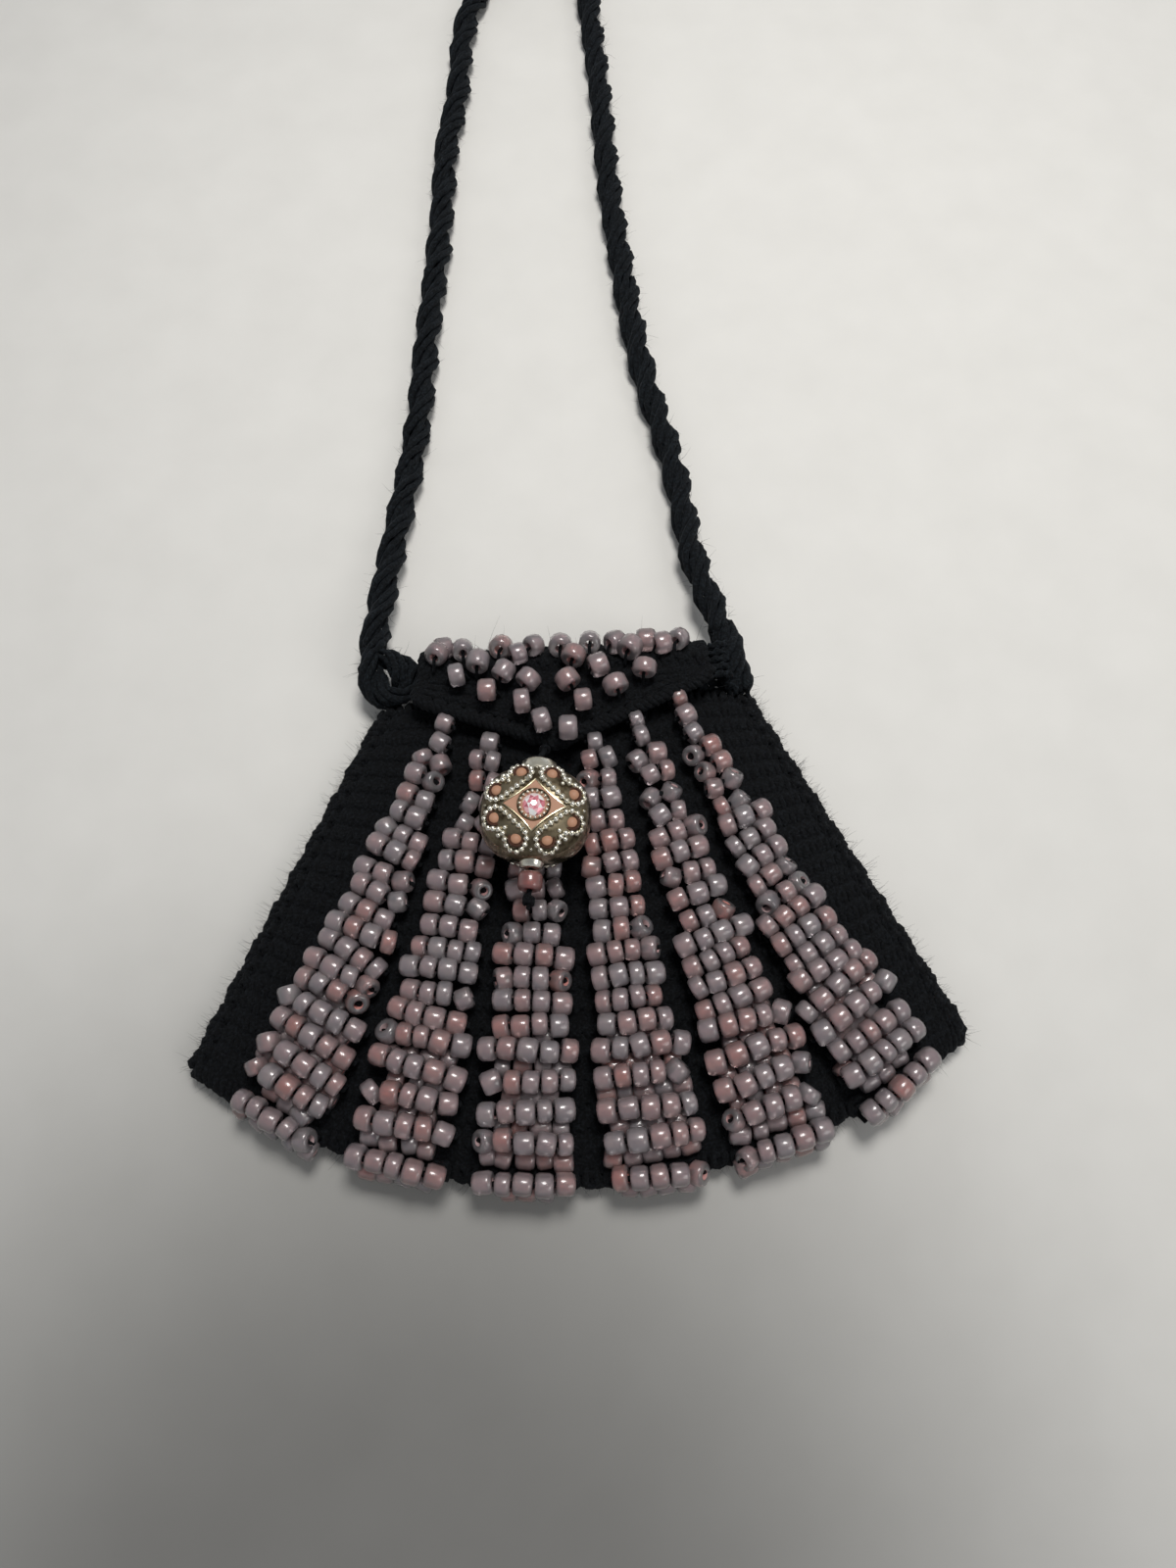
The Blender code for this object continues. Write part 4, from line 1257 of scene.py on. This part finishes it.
# %% Cast body
GROUND_SHARE = 0.46
COLLAR_SECTION = (
    (0.80, -1.6), (2.15, -1.6), (2.20, -0.5), (2.05, -0.2), (1.95, 0.0), (1.85, 0.5), (1.45, 0.8),
    (0.80, 0.8),
)
LOWER_COLLAR = 0.65
COLLAR_SIDES = 32
CAST_FINISHES = [silver, patina, band_silver, brown_patina]
PATINA, BAND, BROWN = 1, 2, 3


def add_cushion(bm):
    """A fine version of the cast cushion, with its face's ground marked as patina."""
    made = bmesh.ops.create_uvsphere(bm, u_segments=56, v_segments=30, radius=1.0)["verts"]
    for vert in made:
        plan = math.hypot(vert.co.x, vert.co.y)
        if plan > 1e-6:
            reach = plan**METAL_BEAD_FULLNESS / plan_share(vert.co.x, vert.co.y)
            vert.co.x *= reach
            vert.co.y *= reach
        height = abs(vert.co.z)**(2 * METAL_BEAD_FULLNESS)
        vert.co.z = METAL_BEAD_HALF_THICKNESS * math.copysign(height, vert.co.z)
    for face in bm.faces:
        middle = face.calc_center_median()
        face.material_index = PATINA if abs(middle.z) > METAL_BEAD_HALF_THICKNESS * GROUND_SHARE else BAND


def add_collar(bm, end, share):
    """A turned collar round one end of the bore, at a share of the full size."""
    reach = METAL_BEAD_HALF_LENGTH
    section = [(radius * share, end * (reach + height * share), 0) for radius, height in COLLAR_SECTION]
    add_turned(bm, section, (0, 1, 0), (0, 0, 0), COLLAR_SIDES)


def place_on_charm(bm, first=0):
    """Copies what lies on the bead's face to its back, turned about the bore, and moves it all into place."""
    bm.verts.ensure_lookup_table()
    faces = {face for vert in bm.verts[first:] for face in vert.link_faces}
    copied = bmesh.ops.duplicate(bm, geom=list(faces))["geom"]
    turned = [item for item in copied if isinstance(item, bmesh.types.BMVert)]
    bmesh.ops.rotate(bm, cent=(0, 0, 0), matrix=Matrix.Rotation(math.pi, 3, "Y"), verts=turned)
    bmesh.ops.transform(bm, matrix=charm_place, verts=bm.verts)


metal_bm = bmesh.new()
add_cushion(metal_bm)
add_collar(metal_bm, 1, 1.0)
add_collar(metal_bm, -1, LOWER_COLLAR)
print("cast body:", len(metal_bm.faces), "faces")

# %% [markdown]
# ## Filigree
# The wirework is laid on the face. A thin plain wire frames the enamel diamond, and in each quarter a
# bean-shaped loop of beaded wire goes round two enamel dots. Its radius swells and narrows along a path on
# the dome, which gives the row of small bright highlights.

# %% Filigree wires
BEADED_RADIUS = 0.37
BEADED_WAIST = 0.3
BEADED_PITCH = 0.66
BEADED_LIFT = 0.16
BEADED_STEP = 0.11
PLAIN_RADIUS = 0.1
PLAIN_LIFT = 0.1
PLAIN_STEP = 0.3
FRAME_TIPS = ((3.35, 0.0), (0.0, 2.85), (-3.35, 0.0), (0.0, -2.85))
FRAME_HOLLOW = 0.82
DOTS = ((1.6, 3.6), (4.0, 1.5))
BEAN_RADIUS = 1.1
BEAN_DIP = 0.5
QUARTERS = [(sign_x, sign_y) for sign_x in (-1, 1) for sign_y in (-1, 1)]


def frame_sides(scale=1.0, steps=18):
    """The four slightly hollow sides of the four-pointed frame."""
    tips = [Vector(tip) * scale for tip in FRAME_TIPS]
    sides = []
    for first, second in zip(tips, tips[1:] + tips[:1]):
        middle = (first + second) * FRAME_HOLLOW / 2
        shares = [step / steps for step in range(steps + 1)]
        sides.append([first * (1 - t)**2 + middle * 2 * t * (1 - t) + second * t**2 for t in shares])
    return sides


def bean(sign_x, sign_y):
    """The loop round one quarter's two dots: straight beside the frame, with a dip on its outer side."""
    first, second = (Vector((x * sign_x, y * sign_y)) for x, y in DOTS)
    along = (second - first).normalized()
    out = Vector((-along.y, along.x))
    if out.dot(first) < 0:
        out.negate()
    points = []
    for dot, turns in ((first, range(-90, -310, -20)), (second, range(130, -91, -20))):
        for turn in turns:
            angle = math.radians(turn)
            points.append(dot + (along * math.cos(angle) + out * math.sin(angle)) * BEAN_RADIUS)
        if dot == first:
            points.append((first + second) / 2 + out * BEAN_DIP)
    points.append((first + second) / 2 - out * BEAN_RADIUS)
    return points + points[:1]


def on_face(flat_points, lift, step):
    """A flat path laid on the dome."""
    return smooth_path([on_dome(point.x, point.y, lift) for point in flat_points], step)[0]


def add_filigree(bm):
    """All the wires of one face."""
    plain_start = len(bm.faces)
    for side in frame_sides():
        add_yarn(bm, [on_face(side, PLAIN_LIFT, PLAIN_STEP)], PLAIN_RADIUS)
    paint_from(bm, plain_start, BAND)
    for quarter in QUARTERS:
        path = on_face(bean(*quarter), BEADED_LIFT, BEADED_STEP)
        widths = []
        for index in range(len(path)):
            wave = abs(math.sin(math.pi * index * BEADED_STEP / BEADED_PITCH))
            widths.append(BEADED_WAIST + (1 - BEADED_WAIST) * wave)
        add_yarn(bm, [path], BEADED_RADIUS, 8, widths)


wire_start = len(metal_bm.verts)
add_filigree(metal_bm)
print("filigree:", len(metal_bm.verts) - wire_start, "points on one face")

# %% [markdown]
# ## Stone setting, cups and granules
# The stone sits in a small dark setting with a ring of bright granules inside it, every enamel dot in a tiny
# cup, and single granules fill the corners between the loops. Rings are spun and granules are small spheres.

# %% Setting, cups and granules
SETTING_SECTION = ((1.30, -0.9), (1.78, -0.9), (1.78, 0.10), (1.72, 0.24), (1.62, 0.20), (1.50, 0.0))
CUP_SECTION = ((0.45, -0.3), (0.88, -0.3), (0.86, 0.04), (0.78, 0.10), (0.60, 0.0))
SETTING_SIDES = 40
CUP_SIDES = 16
GRANULE_RADIUS = 0.17
STONE_GRANULES = 18
STONE_GRANULE_RING = 1.47
STONE_GRANULE_LIFT = 0.22
CORNER_GRANULES = ((3.45, 3.25, 0.3), (2.8, 2.55, 0.26), (0.0, 4.5, 0.22), (5.15, 0.0, 0.22))


def add_ring(bm, section, centre, sides, material):
    """A turned ring that stands on the dome at a flat place."""
    base = on_dome(*centre)
    before = len(bm.faces)
    points = [(base.x + radius, base.y, base.z + height) for radius, height in section]
    add_turned(bm, points, (0, 0, 1), base, sides)
    paint_from(bm, before, material)


def add_granule(bm, centre, radius, lift=0.08):
    """One small ball soldered on the dome."""
    place = Matrix.Translation(on_dome(*centre, lift))
    bmesh.ops.create_icosphere(bm, subdivisions=2, radius=radius, matrix=place)


add_ring(metal_bm, SETTING_SECTION, (0.0, 0.0), SETTING_SIDES, PATINA)
for number in range(STONE_GRANULES):
    angle = 2 * math.pi * number / STONE_GRANULES
    spot = (STONE_GRANULE_RING * math.cos(angle), STONE_GRANULE_RING * math.sin(angle))
    add_granule(metal_bm, spot, GRANULE_RADIUS, STONE_GRANULE_LIFT)
dot_spots = [(x * sign_x, y * sign_y) for x, y in DOTS for sign_x, sign_y in QUARTERS]
for spot in dot_spots:
    add_ring(metal_bm, CUP_SECTION, spot, CUP_SIDES, BROWN)
for sign_x, sign_y in QUARTERS:
    for x, y, radius in CORNER_GRANULES:
        add_granule(metal_bm, (x * sign_x, y * sign_y), radius)
place_on_charm(metal_bm, wire_start)
add_piece("metal_bead_cast", metal_bm, CAST_FINISHES, "metal_bead", ("metal_bead",),
          sharp=BEAD_CREASE)

# %% [markdown]
# ## Enamel and stone
# The enamel field is a disc whose rim is pulled in to the frame's outline and then laid on the dome, and
# each dot is a low dome in its cup. The stone is cut like a small chaton: rings of points for its table,
# crown and girdle, closed by a convex hull, which finds the flat facets by itself.

# %% Enamel
ENAMEL_SCALE = 0.97
ENAMEL_LIFT = 0.12
ENAMEL_ROOT = -0.2
ENAMEL_RING = 0.3
DOT_RADIUS = 0.58
DOT_FLATNESS = 0.45
DOT_LIFT = 0.04


def add_enamel_field(bm):
    """The four-pointed enamel field, laid on the dome in rings from its rim to the setting."""
    rim = [point for side in frame_sides(ENAMEL_SCALE, 12) for point in side[:-1]]
    face = bm.faces.new([bm.verts.new((point.x, point.y, 0)) for point in rim])
    for _ in range(3):
        bmesh.ops.inset_region(bm, faces=[face], thickness=ENAMEL_RING, use_even_offset=True)
    lifted = bmesh.ops.extrude_face_region(bm, geom=bm.faces[:])["geom"]
    upper = {item for item in lifted if isinstance(item, bmesh.types.BMVert)}
    for vert in bm.verts:
        vert.co = on_dome(vert.co.x, vert.co.y, ENAMEL_LIFT if vert in upper else ENAMEL_ROOT)


def add_enamel_dot(bm, centre):
    """A low dome of enamel in its cup."""
    made = bmesh.ops.create_uvsphere(bm, u_segments=14, v_segments=8, radius=DOT_RADIUS)["verts"]
    bmesh.ops.scale(bm, vec=(1, 1, DOT_FLATNESS), verts=made)
    bmesh.ops.translate(bm, vec=on_dome(*centre, DOT_LIFT), verts=made)


enamel_bm = bmesh.new()
add_enamel_field(enamel_bm)
for spot in dot_spots:
    add_enamel_dot(enamel_bm, spot)
place_on_charm(enamel_bm)
add_piece("enamel_inlay", enamel_bm, [enamel], "metal_bead", sharp=40)

# %% Stone
STONE_BASE = 0.35
STONE_RINGS = (
    (0.3, 0.90, 6, 0.0), (0.7, 0.80, 8, 0.0), (1.05, 0.58, 8, 0.5), (1.32, 0.28, 16, 0.25),
    (1.3, 0.1, 16, 0.25), (0.8, -0.1, 8, 0.0),
)


def add_stone(bm):
    """A faceted chaton above the face's setting."""
    for radius, height, count, start in STONE_RINGS:
        for number in range(count):
            angle = 2 * math.pi * (number + start) / count
            bm.verts.new((radius * math.cos(angle), radius * math.sin(angle), height))
    bmesh.ops.convex_hull(bm, input=bm.verts)
    bmesh.ops.dissolve_limit(bm, angle_limit=math.radians(2), verts=bm.verts, edges=bm.edges)
    bmesh.ops.translate(bm, vec=(0, 0, METAL_BEAD_HALF_THICKNESS - STONE_BASE), verts=bm.verts)


stone_bm = bmesh.new()
add_stone(stone_bm)
place_on_charm(stone_bm)
facet = stone_bm.faces.layers.float.new("facet")
# Each facet's random number, which picks its painted reflection.
stone_dice = random.Random(5)
for face in stone_bm.faces:
    face[facet] = stone_dice.random()
add_piece("rhinestone_cut", stone_bm, [crystal], "metal_bead", ("rhinestone",), smooth=False)

# %% [markdown]
# ## Thread, knots and stopper
# A black two-ply thread leaves the flap's tip, goes through the metal bead, and is knotted under a coral
# seed bead that stops everything from sliding off. It bends where it enters the metal bead, so it is one
# piece on each side of that point. A knot is the thread wound tightly round itself.

# %% Thread, knots and stopper
THREAD_OFFSET = 0.15
THREAD_PLY = 0.17
THREAD_PITCH = 1.3
KNOT_REACH = 0.42
KNOT_PLY = 0.26
HANGER_GAP = 0.7
STOPPER_RADIUS = 1.3
CLOTH_KNOT = 0.75
KNOT_TURNS = 3
KNOT_SIDES = 12
KNOT_LENGTH = 0.7
KNOT_TILT = 0.18


def knot_path(centre, axis):
    """Three close turns about an axis, tilted so that they look tied."""
    side = axis.orthogonal().normalized()
    other = axis.cross(side)
    path = []
    steps = KNOT_TURNS * KNOT_SIDES
    for step in range(steps + 1):
        turn = 2 * math.pi * step / KNOT_SIDES
        along = KNOT_LENGTH * (step / steps - 0.5) + KNOT_TILT * math.sin(turn)
        path.append(centre + axis * along + (side * math.cos(turn) + other * math.sin(turn)) * KNOT_REACH)
    return path


def thread_piece(name, spots, knot, body, replaces):
    """A two-ply thread along spots, with a knot."""
    bm = bmesh.new()
    path, _ = smooth_path(spots, 0.2)
    add_yarn(bm, twist(path, 2, THREAD_OFFSET, THREAD_PITCH), THREAD_PLY)
    add_yarn(bm, [knot_path(knot, (spots[1] - spots[0]).normalized())], KNOT_PLY)
    add_piece(name, bm, [wool], body, replaces)


reach = METAL_BEAD_HALF_LENGTH + CAP_PROUD
pivot = Vector((CHARM_OFFSET + math.sin(CHARM_ANGLE) * CHARM_BELOW_TIP,
                APEX_Y - FOLD_FROM_APEX - FLAP_TIP_DROP - CLEARANCE - CLOTH_KNOT,
                FOLD_Z + FOLD_RADIUS + FLAP_RISE))
mouth = charm_place @ Vector((0, reach + HANGER_GAP, 0))
thread_piece("hanging_thread", [pivot, pivot.lerp(mouth, 0.5), mouth], pivot, "pouch", ("hang_thread",))
stop = -(reach + CLEARANCE + BEAD_LENGTH / 2)
thread_end = stop - BEAD_LENGTH / 2 - CLEARANCE - CLOTH_KNOT
charm_spots = [charm_place @ Vector((0, y, 0)) for y in (reach, 0.0, thread_end, thread_end - CLOTH_KNOT)]
thread_piece("bead_thread", charm_spots, charm_spots[2], "charm", ("charm_thread",))
stopper_bm = new_bead_mesh()
stopper_place = charm_place @ Matrix.Translation((0, stop, 0)) @ Matrix.Rotation(math.pi / 2, 4, "Z")
add_bead(stopper_bm, stopper_place, BEAD_LENGTH, STOPPER_RADIUS, 0.5)
add_piece("stopper_bead_glass", stopper_bm, [coral_glass, coral_lining], "charm",
          ("stopper_bead",), sharp=BEAD_CREASE)

# %% [markdown]
# ## Wool hairs
# Fine hairs stand off the yarn, and they are what makes the edges look soft against the pale table. Each
# hair is a very thin bent tube that starts on the yarn. They are denser along the edges, the fold and the
# cord, and short on the faces, where they only break up the dark.

# %% Wool hairs
HAIR_RADIUS = 0.019
HAIR_TAPER = (1.0, 0.85, 0.6, 0.25)
HAIR_BEND = 1.1
HAIR_SPREAD = 0.5
SEAM_HAIRS = (2000, 2000, 1800)
CORD_HAIR_LINES = 5
CORD_HAIR_REACH = 1.3
CORD_HAIR_PITCH = 7.3


def hair_path(root, out, length, dice):
    """One bent hair as four points."""
    bend = Vector([dice.uniform(-1, 1) for _ in range(3)]) * HAIR_BEND
    path = [root + (out + bend * share) * length * share for share in (0.0, 1 / 3, 2 / 3, 1.0)]
    for point in path:
        point.z = max(point.z, HAIR_RADIUS)
    return path


def add_hairs(bm, roots, count, lengths, dice):
    """Adds hairs at random roots, each a point and the direction away from the yarn."""
    hairs = []
    for _ in range(count):
        root, out = dice.choice(roots)
        spread = Vector([dice.gauss(0, HAIR_SPREAD) for _ in range(3)])
        hairs.append(hair_path(root, (out + spread).normalized(), dice.uniform(*lengths), dice))
    add_yarn(bm, hairs, HAIR_RADIUS, 4, HAIR_TAPER)


def face_roots(rows, out):
    """Roots on the yarn of some rows, pointing one way."""
    return [(point, Vector(out)) for row in rows for point in row]


def away_roots(path, centres):
    """Roots along a path, pointing away from the matching centres."""
    return [(point, (point - centre).normalized()) for point, centre in zip(path, centres)]


def hair_piece(name, groups):
    """One piece of hairs from groups of roots, their count and the range of their lengths."""
    bm = bmesh.new()
    for roots, count, lengths in groups:
        add_hairs(bm, roots, count, lengths, hair_dice)
    add_piece(name, bm, [hair_wool], "pouch")


hair_dice = random.Random(3)
fold_rows = [row for row in flap_rows if max(point.y for point in row) > FOLD_Y + 2.0]
fold_roots = face_roots(fold_rows, (0, 1, 0.2))
hair_piece("pouch_wool_hairs", (
    (face_roots(front_rows, (0, 0, 1)), 1300, (0.4, 1.0)),
    (face_roots(flap_rows, (0, 0.4, 0.9)), 400, (0.4, 1.1)),
    (fold_roots, 420, (0.4, 1.2)),
    (fold_roots, 40, (1.6, 3.0)),
))
pouch_centre = Vector((0.0, 0.0, SEAM_HEIGHT))
hair_piece("seam_wool_hairs", [
    (away_roots(path, [pouch_centre] * len(path)), count, (0.7, 1.35))
    for path, count in zip(seam_paths, SEAM_HAIRS)
])
cord_lines = twist(cord_path, CORD_HAIR_LINES, CORD_HAIR_REACH, CORD_HAIR_PITCH)
cord_roots = [root for line in cord_lines for root in away_roots(line, cord_path)]
hair_piece("cord_wool_hairs", [(cord_roots, 5000, (0.5, 1.1))])

# %% [markdown]
# ## Table and light
# The bag lies on a white table under soft daylight. The table is a plane with a faint mottle, and a soft
# round shadow is painted into its colour over its near left part, where a person in front of it would shade
# it. One window behind and a little to the right gives the beads their small highlights and the soft shadow
# below the bottom edge, and a weak lamp fills from the right. The surrounding is darker overhead than near
# the horizon, as in a room, which makes polished metal show its shape.

# %% Table and light
TABLE_SIZE = 3000.0
TABLE_DROP = 0.02
TABLE_COLOUR = (0.74, 0.73, 0.70)
MOTTLE = ((0.3, (0.725, 0.715, 0.685)), (0.7, (0.755, 0.745, 0.715)))
MOTTLE_SCALE = 120
# Painted shadow on the table: how dark it gets, where its middle is, and where it starts and stops fading.
TABLE_PAINTED_SHADOW = 0.3
PAINTED_SHADOW_MIDDLE = (-20.0, -76.0, 0.0)
PAINTED_SHADOW_REACH = (20.0, 98.0)
SKY_COLOUR = (0.93, 0.96, 1.0, 1.0)
LAMP_COLOUR = (1.0, 0.98, 0.95)
HORIZON_STRENGTH = 0.52
OVERHEAD_STRENGTH = 0.16
WINDOW_PLACE = (55.0, 160.0, 440.0)
WINDOW_AIM = (30.0, 85.0, 0.0)
WINDOW_SIZE = 170.0
WINDOW_CONE = math.radians(64)
WINDOW_POWER = 6.1
FILL_PLACE = (280.0, -200.0, 300.0)
FILL_SIZE = 200.0
FILL_POWER = 0.3


def make_table():
    """The pale table, with a soft painted shadow where whoever stood in front of it would shade it."""
    finish, tree, shader = new_finish("white_table", TABLE_COLOUR, 0.75, Specular_IOR_Level=0.2)
    mottle = add_ramp(tree, add_noise(tree, MOTTLE_SCALE, 6.0), MOTTLE)
    # Painted shadow: the table's colour is multiplied darker near one point and fades out with distance.
    place = add_node(tree, "ShaderNodeTexCoord")
    reach = add_node(tree, "ShaderNodeVectorMath")
    reach.operation = "DISTANCE"
    reach.inputs[1].default_value = Vector(PAINTED_SHADOW_MIDDLE) * MM
    tree.links.new(place.outputs["Object"], reach.inputs[0])
    near, far = PAINTED_SHADOW_REACH
    share = add_node(tree, "ShaderNodeMapRange", From_Min=near * MM, From_Max=far * MM)
    share.interpolation_type = "SMOOTHSTEP"
    tree.links.new(reach.outputs["Value"], share.inputs["Value"])
    painted_shadow = mix_colours(tree, 1.0, mottle, (TABLE_PAINTED_SHADOW,) * 3, "MULTIPLY")
    tree.links.new(mix_colours(tree, share.outputs["Result"], painted_shadow, mottle), shader.inputs["Base Color"])
    bm = bmesh.new()
    bmesh.ops.create_grid(bm, x_segments=1, y_segments=1, size=TABLE_SIZE / 2 * MM,
                          matrix=Matrix.Translation((0, 0, -TABLE_DROP * MM)))
    table = add_object("table", new_mesh("table", bm))
    table.data.materials.append(finish)


def make_world():
    """A pale surrounding, darker overhead."""
    world = bpy.data.worlds.new("daylight")
    world.use_nodes = True
    tree = world.node_tree
    background = tree.nodes["Background"]
    background.inputs["Color"].default_value = SKY_COLOUR
    direction = add_node(tree, "ShaderNodeTexCoord")
    parts = add_node(tree, "ShaderNodeSeparateXYZ")
    strength = add_node(tree, "ShaderNodeMapRange", To_Min=HORIZON_STRENGTH, To_Max=OVERHEAD_STRENGTH)
    tree.links.new(direction.outputs["Generated"], parts.inputs["Vector"])
    tree.links.new(parts.outputs["Z"], strength.inputs["Value"])
    tree.links.new(strength.outputs["Result"], background.inputs["Strength"])
    bpy.context.scene.world = world


def hang_lamp(lamp, place, aim, power):
    """Hangs a lamp at a place, turned to its aim."""
    lamp.energy = power
    lamp.color = LAMP_COLOUR
    holder = add_object(lamp.name, lamp)
    holder.location = Vector(place) * MM
    holder.rotation_euler = (Vector(aim) - Vector(place)).to_track_quat("-Z", "Y").to_euler()


make_table()
make_world()
window = bpy.data.lights.new("window_light", "SPOT")
window.shadow_soft_size = WINDOW_SIZE / 2 * MM
window.spot_size = WINDOW_CONE
window.spot_blend = 1.0
hang_lamp(window, WINDOW_PLACE, WINDOW_AIM, WINDOW_POWER)
fill = bpy.data.lights.new("fill_light", "AREA")
fill.size = FILL_SIZE * MM
hang_lamp(fill, FILL_PLACE, (0, 0, 0), FILL_POWER)
bpy.context.scene.view_settings.view_transform = "Standard"
print("lights:", window.name, fill.name)
